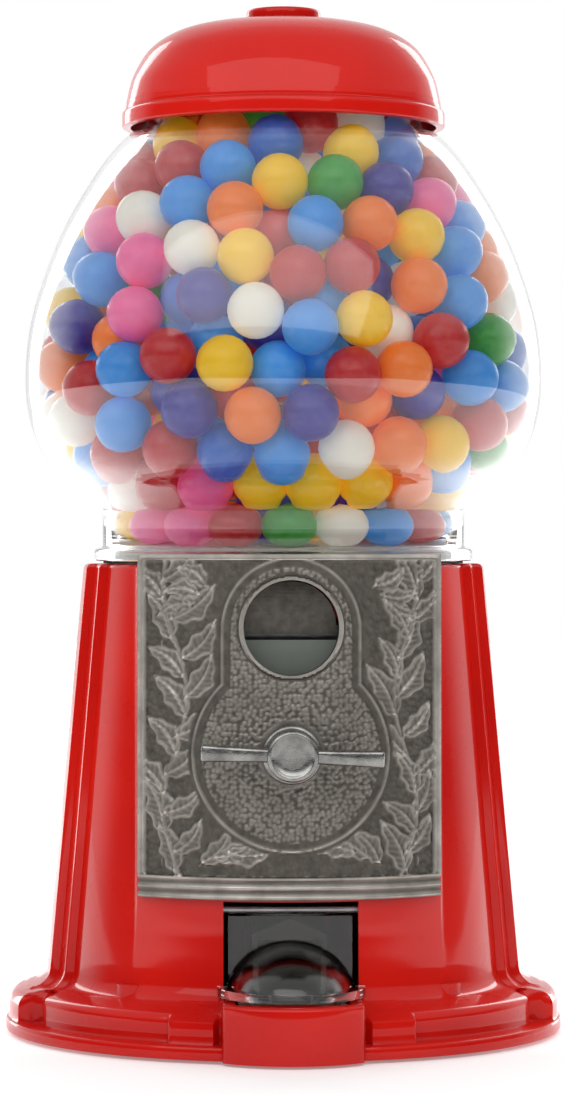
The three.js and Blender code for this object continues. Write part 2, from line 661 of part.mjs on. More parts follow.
function screwBores() {
  return [
    ...POST_PLACES.map(([x, y]) => cylinderZ(SCREW_BORE, 0, POST_TOP - 3, x, y, 12)),
    ...[-1, 1].map((side) => cylinderZ(SCREW_BORE, 0, FLOOR_BOTTOM, side * BRIDGE_HALF_WIDTH, 0, 12)),
  ];
}

function baseCasting() {
  const hollow = cut(
    castingBody(),
    cavity(),
    bossPocket(),
    cylinderZ(BOTTOM_RADIUS + SEAT_GAP, 0, BOTTOM_PLATE_TOP + SEAT_GAP, 0, 0, 72),
    cylinderZ(WELL_RADIUS, FLOOR_TOP, DECK_HEIGHT + 1, 0, 0, 64),
  );
  const filled = join(hollow, pinEar(-1), pinEar(1), ...castingPosts());
  return cut(filled, ...frontCutters(), ...floorCutters(), ...screwBores());
}

piece('base_casting', baseCasting(), RED_PAINT);

// ---------------------------------------------------------------- bottom plate, feet, coin plug

function bottomPlate() {
  const shape = new THREE.Shape().absarc(0, 0, BOTTOM_RADIUS, 0, 2 * Math.PI, false);
  shape.holes.push(circleHole(COIN_PLUG_RADIUS + RUN_GAP, COIN_PLUG_X, 0));
  for (const [x, y] of POST_PLACES) shape.holes.push(circleHole(SCREW_RADIUS + SEAT_GAP, x, y));
  return prismZ(shape, BOTTOM_PLATE_BOTTOM, BOTTOM_PLATE_TOP, 14);
}

/** A round-headed screw along +Z, its head's top at zero. */
function screw(length) {
  return revolveZ(
    [
      [0, 0],
      [SCREW_HEAD_RADIUS * 0.7, 0],
      [SCREW_HEAD_RADIUS, SCREW_HEAD_HEIGHT * 0.6],
      [SCREW_HEAD_RADIUS, SCREW_HEAD_HEIGHT],
      [SCREW_RADIUS, SCREW_HEAD_HEIGHT],
      [SCREW_RADIUS, length],
      [0, length],
    ],
    12,
  );
}

/** The coin bank's plug: a flanged cup that pulls out downwards. */
function coinPlug() {
  const flange = COIN_PLUG_RADIUS + COIN_PLUG_FLANGE;
  const inside = COIN_PLUG_RADIUS - COIN_PLUG_WALL;
  const flangeTop = BOTTOM_PLATE_BOTTOM - SEAT_GAP;
  const rim = BOTTOM_PLATE_TOP + 2.4;
  return revolveZ(
    [
      [0, flangeTop - 0.6],
      [flange, flangeTop - 0.6],
      [flange, flangeTop],
      [COIN_PLUG_RADIUS, flangeTop],
      [COIN_PLUG_RADIUS, rim],
      [inside, rim],
      [inside, flangeTop + 0.8],
      [0, flangeTop + 0.8],
    ],
    24,
  ).translate(COIN_PLUG_X, 0, 0);
}

piece('bottom_plate', bottomPlate(), BLACK_PLASTIC);
POST_PLACES.forEach(([x, y], i) => {
  const headBottom = BOTTOM_PLATE_BOTTOM - SEAT_GAP - SCREW_HEAD_HEIGHT;
  piece(`bottom_screw_${i + 1}`, screw(BOTTOM_SCREW_LENGTH).translate(x, y, headBottom), STEEL);
});
fourAround(PAD_CIRCLE, 0).forEach(([x, y], i) => {
  const pad = cylinderZ(PAD_RADIUS, 0, BOTTOM_PLATE_BOTTOM - SEAT_GAP, x, y, 20);
  piece(`foot_pad_${i + 1}`, pad, RUBBER);
});
piece('coin_plug', coinPlug(), BLACK_PLASTIC);

// ---------------------------------------------------------------- globe and gaskets

/** Share of the bulge reached at each share of the height from the neck up to the mouth. */
const BULGE_LOWER = [
  [0.0, 0.0],
  [0.055, 0.24],
  [0.1, 0.61],
  [0.2, 0.9],
  [0.33, 1.0],
];
const BULGE_UPPER = [
  [0.5, 0.94],
  [0.7, 0.705],
  [0.86, 0.4],
  [0.953, 0.195],
  [1.0, 0.02],
];

function globeOutline() {
  const neckTop = DECK_HEIGHT + NECK_HEIGHT;
  const height = MOUTH_Z - 1.0 - neckTop;
  const point = (from) => ([share, bulge]) => [
    from + (GLOBE_RADIUS - from) * bulge,
    neckTop + share * height,
  ];
  const knots = [...BULGE_LOWER.map(point(NECK_RADIUS)), ...BULGE_UPPER.map(point(MOUTH_RADIUS))];
  return smooth(knots, 18);
}

/** The same outline moved inwards by the wall's thickness, square to the glass. */
function inward(outline, wall) {
  return outline.map(([r, z], i) => {
    const [r0, z0] = outline[Math.max(i - 1, 0)];
    const [r1, z1] = outline[Math.min(i + 1, outline.length - 1)];
    const length = Math.hypot(r1 - r0, z1 - z0);
    return [r - (wall * (z1 - z0)) / length, z + (wall * (r1 - r0)) / length];
  });
}

function globe() {
  const outline = globeOutline();
  const footRadius = NECK_RADIUS + GLASS_FOOT_OUT;
  const footTop = DECK_HEIGHT + GLASS_FOOT_HEIGHT;
  const inside = inward(outline, GLASS_WALL).slice(1, -1);
  const bore = NECK_RADIUS - GLASS_WALL;
  return revolveZ([
    [bore, GLASS_BOTTOM],
    [footRadius - 0.5, GLASS_BOTTOM],
    [footRadius, GLASS_BOTTOM + 0.5],
    [footRadius, footTop - 0.5],
    [footRadius - 0.5, footTop],
    [NECK_RADIUS, footTop + 0.6],
    ...outline,
    [MOUTH_RADIUS, MOUTH_Z],
    [MOUTH_RADIUS - GLASS_WALL, MOUTH_Z],
    [MOUTH_RADIUS - GLASS_WALL, MOUTH_Z - 2.2],
    ...inside.reverse(),
    [bore, DECK_HEIGHT + NECK_HEIGHT - 0.5],
  ]);
}

function flatRing(inner, outer, bottom, top, segments = RING_SEGMENTS) {
  return revolveZ([[inner, bottom], [outer, bottom], [outer, top], [inner, top]], segments);
}

piece('globe', globe(), GLASS);
const GASKET_OUTER = BODY_TOP_RADIUS - PANEL_DEPTH_TOP - DECK_EDGE;
piece(
  'globe_gasket',
  flatRing(WELL_RADIUS + 0.4, GASKET_OUTER, DECK_HEIGHT + 0.1, GLASS_BOTTOM - 0.1),
  RUBBER,
);

// ---------------------------------------------------------------- lid, its gasket, nut and rod

function lid() {
  const skirt = LID_RADIUS - LID_WALL - 0.2;
  const shoulder = LID_RADIUS - 2.3;
  const dome = smooth(
    [
      [LID_RADIUS - 1.2, LID_BOTTOM + 7.1],
      [shoulder, LID_BOTTOM + 11.7],
      [shoulder - 2.9, LID_BOTTOM + 18.6],
      [shoulder - 6.9, LID_BOTTOM + 23.2],
      [shoulder - 15.1, LID_BOTTOM + 27.8],
      [LID_RADIUS - 30.8, LID_TOP],
    ],
    12,
  );
  const vault = inward(dome, LID_WALL).slice(3);
  const spigot = MOUTH_RADIUS - GLASS_WALL - 1.0;
  return revolveZ([
    [skirt, LID_BOTTOM],
    [LID_RADIUS - 0.5, LID_BOTTOM],
    [LID_RADIUS, LID_BOTTOM + 0.5],
    [LID_RADIUS, LID_BOTTOM + 4.0],
    [LID_RADIUS - 0.8, LID_BOTTOM + 4.8],
    ...dome,
    [ROD_RADIUS + RUN_GAP, LID_TOP],
    [ROD_RADIUS + RUN_GAP, LID_TOP - LID_WALL],
    ...vault.reverse(),
    [shoulder - LID_WALL - 1, LID_SEAT_Z + 1.8],
    [spigot - 1.7, LID_SEAT_Z + 1.8],
    [spigot - 1.7, LID_BOTTOM + 0.2],
    [spigot, LID_BOTTOM + 0.2],
    [spigot, LID_SEAT_Z],
    [skirt - 0.7, LID_SEAT_Z],
    [skirt, LID_BOTTOM + 3.2],
  ]);
}

function lidKnob() {
  const bore = ROD_RADIUS + RUN_GAP;
  return revolveZ([
    [0, KNOB_TOP],
    [KNOB_RADIUS - 0.6, KNOB_TOP],
    [KNOB_RADIUS, KNOB_TOP - 0.6],
    [KNOB_RADIUS, KNOB_BOTTOM + 0.6],
    [KNOB_RADIUS - 0.4, KNOB_BOTTOM],
    [bore, KNOB_BOTTOM],
    [bore, ROD_TOP + RUN_GAP],
    [0, ROD_TOP + RUN_GAP],
  ].reverse());
}

/** The centre rod, with a shoulder that holds the cut-off guard down. */
function centreRod() {
  return revolveZ(
    [
      [0, ROD_BOTTOM],
      [ROD_RADIUS, ROD_BOTTOM],
      [ROD_RADIUS, GUARD_TOP + SEAT_GAP],
      [ROD_SHOULDER_RADIUS, GUARD_TOP + SEAT_GAP],
      [ROD_SHOULDER_RADIUS, GUARD_TOP + 3],
      [ROD_RADIUS, GUARD_TOP + 3],
      [ROD_RADIUS, ROD_TOP],
      [0, ROD_TOP],
    ],
    16,
  );
}

function hexagon(acrossCorners) {
  const corners = [0, 1, 2, 3, 4, 5].map((i) => radians(60 * i));
  return polygon(corners.map((a) => [acrossCorners * Math.cos(a), acrossCorners * Math.sin(a)]));
}

function rodNut() {
  const nut = hexagon(NUT_CORNER_RADIUS);
  nut.holes.push(circleHole(ROD_RADIUS + SEAT_GAP));
  const top = BRIDGE_TOP - BRIDGE_THICKNESS - SEAT_GAP;
  return prismZ(nut, top - NUT_HEIGHT, top, 12);
}

piece('lid', lid(), RED_PAINT);
const LID_GASKET_INNER = MOUTH_RADIUS - GLASS_WALL - 0.6;
piece(
  'lid_gasket',
  flatRing(LID_GASKET_INNER, MOUTH_RADIUS + 0.8, MOUTH_Z + SEAT_GAP, LID_SEAT_Z - SEAT_GAP),
  RUBBER,
);
piece('lid_knob', lidKnob(), RED_PAINT);
piece('centre_rod', centreRod(), STEEL);
piece('rod_nut', rodNut(), STEEL);

// ---------------------------------------------------------------- gumball wheel and its drive

function gumballWheel() {
  const shape = new THREE.Shape().absarc(0, 0, WHEEL_RADIUS, 0, 2 * Math.PI, false);
  shape.holes.push(hexagon(HUB_FIT));
  for (let i = 0; i < POCKET_COUNT; i++) {
    const angle = Math.PI / 2 + (2 * Math.PI * i) / POCKET_COUNT;
    shape.holes.push(
      circleHole(POCKET_RADIUS, POCKET_CIRCLE * Math.cos(angle), POCKET_CIRCLE * Math.sin(angle)),
    );
  }
  return prismZ(shape, WHEEL_BOTTOM, WHEEL_TOP, 16);
}

/** A fixed leaf over the pocket at the exit, so that only the gumball in the pocket drops. */
function cutoffGuard() {
  const reach = POCKET_RADIUS + 1.0;
  const eye = ROD_RADIUS + 5.0;
  const neckHalf = 5.0;
  const leafTurn = Math.asin(neckHalf / reach);
  const eyeTurn = Math.asin(neckHalf / eye);
  const up = Math.PI / 2;
  const shape = new THREE.Shape();
  shape.absarc(0, POCKET_CIRCLE - 0.6, reach, leafTurn - up, 3 * up - leafTurn, false);
  shape.absarc(0, 0, eye, up + eyeTurn, 5 * up - eyeTurn, false);
  shape.holes.push(circleHole(ROD_RADIUS + SEAT_GAP));
  return prismZ(shape, GUARD_BOTTOM, GUARD_TOP, 20);
}

/** One tooth of the crown gear, under its disc, at an angle round the axis. */
function crownTooth(index) {
  const tip = CROWN_PITCH_Z - TOOTH_TIP;
  const root = CROWN_PITCH_Z + TOOTH_ROOT + 0.2;
  const [rootHalf, tipHalf] = [0.8 * GEAR_MODULE, 0.3 * GEAR_MODULE];
  const tooth = polygon([
    [-rootHalf, root],
    [-tipHalf, tip],
    [tipHalf, tip],
    [rootHalf, root],
  ]);
  const solid = prismY(tooth, -CROWN_RADIUS, GEAR_FACE - CROWN_RADIUS);
  return solid.rotateZ((2 * Math.PI * index) / CROWN_TEETH);
}

/** The crown gear and the hollow hub that carries the wheel: round below, hexagonal on top. */
function driveGear() {
  const discBottom = CROWN_PITCH_Z + TOOTH_ROOT;
  const tube = cylinderZ(HUB_RADIUS, BRIDGE_TOP + RUN_GAP, WHEEL_BOTTOM);
  const drive = prismZ(hexagon(HUB_RADIUS), WHEEL_BOTTOM - 1, HUB_TOP);
  const disc = cylinderZ(CROWN_RADIUS, discBottom, discBottom + 3, 0, 0, 48);
  const teeth = Array.from({ length: CROWN_TEETH }, (_, index) => crownTooth(index));
  const whole = join(tube, drive, disc, ...teeth);
  return cut(whole, cylinderZ(HUB_BORE, BRIDGE_TOP - 1, HUB_TOP + 1, 0, 0, 20));
}

/** The pinion on the handle's shaft. A gap is straight up, and a tooth of the crown gear sits in it. */
function pinion() {
  const shape = new THREE.Shape();
  const tip = PINION_PITCH + TOOTH_TIP;
  const root = PINION_PITCH - TOOTH_ROOT;
  for (let i = 0; i < PINION_TEETH; i++) {
    const middle = (2 * Math.PI * (i + 0.5)) / PINION_TEETH + Math.PI / 2;
    const flank = [
      [root, -0.3],
      [PINION_PITCH, -0.14],
      [tip, -0.05],
      [tip, 0.05],
      [PINION_PITCH, 0.14],
      [root, 0.3],
    ];
    for (const [radius, turn] of flank) {
      const x = radius * Math.cos(middle + turn);
      const z = radius * Math.sin(middle + turn);
      if (i === 0 && radius === root && turn < 0) shape.moveTo(x, z);
      else shape.lineTo(x, z);
    }
  }
  shape.holes.push(circleHole(SHAFT_RADIUS + SEAT_GAP));
  return prismY(shape, -CROWN_RADIUS, GEAR_FACE - CROWN_RADIUS, 12).translate(0, 0, SHAFT_Z);
}

piece('gumball_wheel', gumballWheel(), WHITE_PLASTIC);
piece('cutoff_guard', cutoffGuard(), STEEL);
piece('drive_gear', driveGear(), WHITE_PLASTIC);
piece('pinion', pinion(), WHITE_PLASTIC);

// ---------------------------------------------------------------- gear bridge

/** The bridge's front outline: a strap below, two legs, and a foot at the top of each. */
function bridgeOutline() {
  const low = BRIDGE_TOP - BRIDGE_THICKNESS;
  const footTop = BRIDGE_FOOT_Z + BRIDGE_THICKNESS;
  const foot = BRIDGE_HALF_WIDTH + BRIDGE_FOOT_OUT;
  const [legIn, legOut] = [-1, 1].map(
    (side) => BRIDGE_HALF_WIDTH - BRIDGE_LEG_INSET + (side * BRIDGE_THICKNESS) / 2,
  );
  const right = [
    [legOut - BRIDGE_THICKNESS / 2, low],
    [legOut, low + BRIDGE_THICKNESS / 2],
    [legOut, BRIDGE_FOOT_Z],
    [foot, BRIDGE_FOOT_Z],
    [foot, footTop],
    [legIn, footTop],
    [legIn, BRIDGE_TOP],
  ];
  const left = right.map(([x, z]) => [-x, z]).reverse();
  return polygon([...right, ...left]);
}

/** A bracket hung from the floor: it carries the hub, the rod's nut and the shaft's back end. */
function gearBridge() {
  const low = BRIDGE_TOP - BRIDGE_THICKNESS;
  const footTop = BRIDGE_FOOT_Z + BRIDGE_THICKNESS;
  const half = BRIDGE_DEPTH / 2;
  const [armFront, armBack] = [SHAFT_BACK - 5.4, SHAFT_BACK + 0.6];
  const arm = block(-half, half, armFront, -half + 0.5, low, BRIDGE_TOP);
  const bearing = block(-half, half, armFront, armBack, BRIDGE_TOP - 1, SHAFT_Z + SHAFT_RADIUS + 2.5);
  return cut(
    join(prismY(bridgeOutline(), -half, half), arm, bearing),
    cylinderY(SHAFT_RADIUS + SEAT_GAP, armFront - 1, armBack + 1, 0, SHAFT_Z),
    cylinderZ(ROD_RADIUS + SEAT_GAP, low - 1, BRIDGE_TOP + 1, 0, 0, 16),
    ...[-1, 1].map((side) => {
      const x = side * BRIDGE_HALF_WIDTH;
      return cylinderZ(SCREW_RADIUS + SEAT_GAP, BRIDGE_FOOT_Z - 1, footTop + 1, x, 0, 12);
    }),
  );
}

piece('gear_bridge', gearBridge(), STEEL);
[-1, 1].forEach((side, i) => {
  const headBottom = BRIDGE_FOOT_Z - SEAT_GAP - SCREW_HEAD_HEIGHT;
  const placed = screw(BRIDGE_SCREW_LENGTH).translate(side * BRIDGE_HALF_WIDTH, 0, headBottom);
  piece(`bridge_screw_${i + 1}`, placed, STEEL);
});

// ---------------------------------------------------------------- faceplate and coin chamber

/** A curved strip round the axis, between two radii and two angles of half-width, and two heights. */
function curvedStrip(inner, outer, x0, x1, bottom, top, steps = 16) {
  const shape = new THREE.Shape();
  const angle = (x, radius) => -Math.PI / 2 + Math.asin(x / radius);
  shape.absarc(0, 0, outer, angle(x0, outer), angle(x1, outer), false);
  shape.absarc(0, 0, inner, angle(x1, inner), angle(x0, inner), true);
  return prismZ(shape, bottom, top, steps);
}

/** The raised border round the plate's field, wider along its foot. */
function plateBorder() {
  const [inner, outer] = [PLATE_INNER_RADIUS + 0.2, PLATE_RADIUS + PLATE_BORDER];
  const [half, edge] = [PLATE_HALF_WIDTH, PLATE_BORDER_WIDTH];
  const [low, high] = [PLATE_BOTTOM, PLATE_TOP];
  return [
    curvedStrip(inner, outer, -half, half, low, low + 2 * edge, 14),
    curvedStrip(inner, outer, -half, half, high - edge, high, 14),
    curvedStrip(inner, outer, -half, -half + edge, low + 1, high - 1, 2),
    curvedStrip(inner, outer, half - edge, half, low + 1, high - 1, 2),
  ];
}

/** The posts behind the plate that the mechanism's back plate is screwed to. */
function platePosts() {
  const back = MECH_PLATE_FRONT - SEAT_GAP;
  return mechPlaces().map(([x, z]) => cylinderY(MECH_POST_RADIUS, plateBack(x) - 0.6, back, x, z, 12));
}

function faceplate() {
  const half = PLATE_HALF_WIDTH;
  const front = -PLATE_RADIUS - 5;
  const back = MECH_PLATE_BACK;
  const tunnelRadius = WINDOW_RADIUS + WINDOW_WALL;
  const tunnelFront = -PLATE_INNER_RADIUS - 0.6;
  return cut(
    join(
      curvedStrip(PLATE_INNER_RADIUS, PLATE_RADIUS, -half, half, PLATE_BOTTOM, PLATE_TOP, 14),
      ...plateBorder(),
      ...platePosts(),
      cylinderY(tunnelRadius, tunnelFront, LIP_FRONT - SEAT_GAP, 0, WINDOW_Z, 24),
    ),
    cylinderY(WINDOW_RADIUS, front, back, 0, WINDOW_Z, 24),
    cylinderY(COLLAR_SLEEVE + SEAT_GAP, front, back, 0, SHAFT_Z),
    ...mechPlaces().map(([x, z]) =>
      cylinderY(SCREW_RADIUS + SEAT_GAP, MECH_PLATE_FRONT - 6, back, x, z, 12),
    ),
  );
}

/** Place along Y of the plate's back at a distance from its middle. */
function plateBack(x) {
  return -Math.sqrt(PLATE_INNER_RADIUS ** 2 - x ** 2);
}

function mechPlaces() {
  return [
    [-MECH_SCREW_X, MECH_SCREW_LOW],
    [MECH_SCREW_X, MECH_SCREW_LOW],
    [MECH_SCREW_X, MECH_SCREW_HIGH],
    [-MECH_SCREW_X, MECH_SCREW_HIGH],
  ];
}

/** The smooth plate across the window's lower part: the coin stands behind it. */
function coinLip() {
  const half = WINDOW_RADIUS + 3.4;
  const shape = polygon([
    [-half, WINDOW_Z - WINDOW_RADIUS - 4],
    [half, WINDOW_Z - WINDOW_RADIUS - 4],
    [half, COIN_LIP_TOP],
    [-half, COIN_LIP_TOP],
  ]);
  return prismY(shape, LIP_FRONT, LIP_BACK);
}

/** The dished back of the window's upper part: it leads a coin down behind the lip. */
function coinDish() {
  const reach = WINDOW_RADIUS - SEAT_GAP;
  const deep = -WELL_OUTER - SEAT_GAP;
  const shallow = -PLATE_INNER_RADIUS + 2.0;
  const top = WINDOW_Z + WINDOW_RADIUS;
  const side = new THREE.Shape();
  side.moveTo(deep, DISH_BOTTOM);
  side.lineTo(deep, top);
  side.lineTo(shallow, top);
  side.quadraticCurveTo(deep - 1.6, top - 5, deep - 0.8, DISH_BOTTOM);
  const wedge = prismX(side, -reach, reach);
  return common(wedge, cylinderY(reach, shallow - 1, deep + 1, 0, WINDOW_Z, 24));
}

function mechPlate() {
  const shape = polygon([
    [-MECH_PLATE_HALF_WIDTH, MECH_PLATE_BOTTOM],
    [MECH_PLATE_HALF_WIDTH, MECH_PLATE_BOTTOM],
    [MECH_PLATE_HALF_WIDTH, MECH_PLATE_TOP],
    [-MECH_PLATE_HALF_WIDTH, MECH_PLATE_TOP],
  ]);
  shape.holes.push(circleHole(SHAFT_RADIUS + SEAT_GAP, 0, SHAFT_Z));
  shape.holes.push(circleHole(PAWL_PIN_RADIUS + SEAT_GAP, PAWL_PIN_X, PAWL_PIN_Z));
  for (const [x, z] of mechPlaces()) shape.holes.push(circleHole(SCREW_RADIUS + SEAT_GAP, x, z));
  return prismY(shape, MECH_PLATE_FRONT, MECH_PLATE_BACK, 10);
}

piece('faceplate', faceplate(), PEWTER);
piece('coin_lip', coinLip(), GREY_PLASTIC);
piece('coin_dish', coinDish(), PEWTER);
piece('mechanism_plate', mechPlate(), STEEL);
mechPlaces().forEach(([x, z], i) => {
  const headBack = MECH_PLATE_BACK + SEAT_GAP + SCREW_HEAD_HEIGHT;
  const placed = screw(MECH_SCREW_LENGTH).rotateX(Math.PI / 2).translate(x, headBack, z);
  piece(`mechanism_screw_${i + 1}`, placed, STEEL);
});

// ---------------------------------------------------------------- handle, shaft and coin wheel

function shaft() {
  return cylinderY(SHAFT_RADIUS, SHAFT_FRONT, SHAFT_BACK, 0, SHAFT_Z);
}

/** The collar that bears the shaft in the faceplate. */
function shaftCollar() {
  const bore = SHAFT_RADIUS + SEAT_GAP;
  const back = -PLATE_INNER_RADIUS + 2;
  const seat = -(PLATE_RADIUS + SEAT_GAP);
  return revolveShaft([
    [bore, COLLAR_FRONT],
    [COLLAR_RADIUS - 1.0, COLLAR_FRONT],
    [COLLAR_RADIUS, COLLAR_FRONT + 1.0],
    [COLLAR_RADIUS, seat],
    [COLLAR_SLEEVE, seat],
    [COLLAR_SLEEVE, back],
    [bore, back],
  ]);
}

function handle() {
  const half = HANDLE_LENGTH / 2;
  const tall = HANDLE_HEIGHT / 2;
  const waist = tall - 0.35;
  const blade = new THREE.Shape();
  blade.moveTo(-half, -tall);
  blade.quadraticCurveTo(0, -waist + 0.35, half, -tall);
  blade.lineTo(half, tall);
  blade.quadraticCurveTo(0, waist - 0.35, -half, tall);
  const bladeFront = HANDLE_FRONT + 0.8;
  const grip = prismY(blade, bladeFront, bladeFront + HANDLE_DEPTH, 8).translate(0, 0, SHAFT_Z);
  const hub = revolveShaft([
    [0, HANDLE_FRONT + 0.6],
    [HANDLE_HUB_RADIUS - 1.6, HANDLE_FRONT + 0.5],
    [HANDLE_HUB_RADIUS - 1.0, HANDLE_FRONT],
    [HANDLE_HUB_RADIUS - 0.5, HANDLE_FRONT],
    [HANDLE_HUB_RADIUS, HANDLE_FRONT + 0.8],
    [HANDLE_HUB_RADIUS, HANDLE_BACK],
    [0, HANDLE_BACK],
  ], 32);
  const bore = cylinderY(SHAFT_RADIUS + SEAT_GAP, SHAFT_FRONT - SEAT_GAP, 0, 0, SHAFT_Z);
  const tilted = geometryOf(cut(join(grip, hub), bore));
  return tilted.translate(0, 0, -SHAFT_Z).rotateY(radians(HANDLE_TILT)).translate(0, 0, SHAFT_Z);
}

/** The coin wheel: its notch stands behind the window and takes the coin's lower half. */
function coinWheel() {
  const hub = SHAFT_RADIUS + 4;
  const disc = cylinderY(COIN_WHEEL_RADIUS, COIN_WHEEL_FRONT, COIN_WHEEL_BACK, 0, SHAFT_Z, 48);
  const boss = cylinderY(hub, COIN_WHEEL_BACK - 1, RATCHET_FRONT - SEAT_GAP, 0, SHAFT_Z);
  return cut(
    join(disc, boss),
    cylinderY(COIN_DIAMETER / 2 + COIN_ROOM, COIN_WHEEL_FRONT - 1, COIN_WHEEL_BACK + 1, 0, WINDOW_Z, 24),
    cylinderY(SHAFT_RADIUS + SEAT_GAP, COIN_WHEEL_FRONT - 1, RATCHET_FRONT + 1, 0, SHAFT_Z),
  );
}

function ratchet() {
  const shape = new THREE.Shape();
  const root = RATCHET_RADIUS - RATCHET_TOOTH;
  for (let i = 0; i < RATCHET_TEETH; i++) {
    const start = (2 * Math.PI * i) / RATCHET_TEETH;
    const rise = start + (2 * Math.PI * 0.94) / RATCHET_TEETH;
    const [x0, z0] = [root * Math.cos(start), root * Math.sin(start)];
    if (i === 0) shape.moveTo(x0, z0);
    else shape.lineTo(x0, z0);
    shape.lineTo(RATCHET_RADIUS * Math.cos(rise), RATCHET_RADIUS * Math.sin(rise));
  }
  shape.holes.push(circleHole(SHAFT_RADIUS + SEAT_GAP));
  return prismY(shape, RATCHET_FRONT, RATCHET_BACK, 12).translate(0, 0, SHAFT_Z);
}

/** A pawl beside the ratchet, held lifted: its nose stays clear of the teeth's tips. */
function pawl() {
  const nose = RATCHET_RADIUS + 0.8;
  const aim = Math.atan2(PAWL_PIN_Z - SHAFT_Z, PAWL_PIN_X) + 0.5;
  const tip = [nose * Math.cos(aim), SHAFT_Z + nose * Math.sin(aim)];
  const shape = new THREE.Shape();
  const reach = PAWL_EYE_RADIUS;
  shape.moveTo(tip[0], tip[1]);
  shape.lineTo(PAWL_PIN_X - 1.0, PAWL_PIN_Z - reach);
  shape.absarc(PAWL_PIN_X, PAWL_PIN_Z, reach, -Math.PI / 2, Math.PI / 2, false);
  shape.lineTo(tip[0] + 1.4, tip[1] + 1.6);
  shape.holes.push(circleHole(PAWL_PIN_RADIUS + SEAT_GAP, PAWL_PIN_X, PAWL_PIN_Z));
  return prismY(shape, RATCHET_FRONT, RATCHET_BACK - 0.2, 12);
}

function pawlPin() {
  const front = RATCHET_FRONT - 1.2;
  return cylinderY(PAWL_PIN_RADIUS, front, MECH_PLATE_BACK + 0.8, PAWL_PIN_X, PAWL_PIN_Z, 16);
}

/** The pawl's torsion spring, in front of it on the same pin, with one leg out to the side. */
function pawlSpring() {
  const shape = new THREE.Shape();
  const outer = PAWL_PIN_RADIUS + 1.2;
  shape.absarc(PAWL_PIN_X, PAWL_PIN_Z, outer, 0, 1.4 * Math.PI, false);
  shape.lineTo(PAWL_PIN_X + 6.5, PAWL_PIN_Z - outer - 0.3);
  shape.lineTo(PAWL_PIN_X + 6.5, PAWL_PIN_Z - outer + 0.6);
  shape.lineTo(PAWL_PIN_X + outer, PAWL_PIN_Z - 0.6);
  shape.holes.push(circleHole(PAWL_PIN_RADIUS + SEAT_GAP, PAWL_PIN_X, PAWL_PIN_Z));
  return prismY(shape, RATCHET_FRONT - 1.1, RATCHET_FRONT - 0.3, 16);
}

function shaftClip() {
  const clip = new THREE.Shape();
  clip.absarc(0, 0, SHAFT_RADIUS + 2.6, radians(-60), radians(240), false);
  clip.absarc(0, 0, SHAFT_RADIUS + SEAT_GAP, radians(240), radians(-60), true);
  const front = MECH_PLATE_BACK + SEAT_GAP;
  return prismY(clip, front, front + 1.0, 20).translate(0, 0, SHAFT_Z);
}

piece('handle_shaft', shaft(), STEEL);
piece('shaft_collar', shaftCollar(), CHROME);
piece('handle', handle(), CHROME);
piece('coin_wheel', coinWheel(), STEEL);
piece('ratchet_wheel', ratchet(), STEEL);
piece('pawl', pawl(), STEEL);
piece('pawl_pin', pawlPin(), STEEL);
piece('pawl_spring', pawlSpring(), STEEL);
piece('shaft_clip', shaftClip(), STEEL);

// ---------------------------------------------------------------- gumball chute

const DUCT_FLOOR = TRAY_FLOOR + TRAY_SLOPE * (DUCT_FRONT - TRAY_FRONT);

/** Height of the top of the duct's floor at a place along Y. */
function ductFloor(y) {
  return DUCT_FLOOR + CHUTE_SLOPE * (y - DUCT_FRONT);
}

/** A section in X and Z carried back at a slope; its zero stands at a height at the start. */
function slopedPrism(shape, front, back, slope, start, height) {
  const rise = new THREE.Matrix4().set(1, 0, 0, 0, 0, 1, 0, 0, 0, slope, 1, 0, 0, 0, 0, 1);
  const level = prismY(shape, front - start, back - start);
  return level.applyMatrix4(rise).translate(0, start, height);
}

function trayPrism(shape, front, back) {
  return slopedPrism(shape, front, back, TRAY_SLOPE, TRAY_FRONT, TRAY_FLOOR);
}

function ductPrism(shape, front, back) {
  return slopedPrism(shape, front, back, CHUTE_SLOPE, DUCT_FRONT, DUCT_FLOOR);
}

function rectangle(half, bottom, top) {
  return polygon([[-half, bottom], [half, bottom], [half, top], [-half, top]]);
}

function gumballChute() {
  const half = BALL_DIAMETER / 2 + 1.2;
  const height = BALL_DIAMETER + 2;
  const wall = CHUTE_WALL;
  const outer = half + wall;
  const ductBack = POCKET_CIRCLE + half + wall;
  const roofed = polygon([
    [-outer, -wall],
    [outer, -wall],
    [outer, height + wall],
    [0, height + wall + 4.4],
    [-outer, height + wall],
  ]);
  const tubeInner = TUBE_RADIUS;
  const tubeTop = FLOOR_BOTTOM - SEAT_GAP;
  const tubeBottom = ductFloor(POCKET_CIRCLE) + 2;
  const tray = CHUTE_TRAY_HALF_WIDTH;
  const outside = join(
    trayPrism(rectangle(tray, -wall, 3.0), TRAY_FRONT, DUCT_FRONT + 1),
    ductPrism(roofed, DUCT_FRONT, ductBack),
    cylinderZ(tubeInner + wall, tubeBottom, tubeTop, 0, POCKET_CIRCLE, 32),
    block(-7, 7, POCKET_CIRCLE - 3, POCKET_CIRCLE, BOTTOM_PLATE_TOP + SEAT_GAP, tubeBottom - 2),
  );
  return cut(
    outside,
    trayPrism(rectangle(tray - wall, 0, 8), TRAY_FRONT + 1.0, DUCT_FRONT - 0.3),
    ductPrism(rectangle(half, 0, height), DUCT_FRONT - 1.5, ductBack - wall),
    cylinderZ(tubeInner, tubeBottom - 1, tubeTop + 1, 0, POCKET_CIRCLE, 32),
  );
}

piece('gumball_chute', gumballChute(), GREY_PLASTIC);

// ---------------------------------------------------------------- flap and its pin

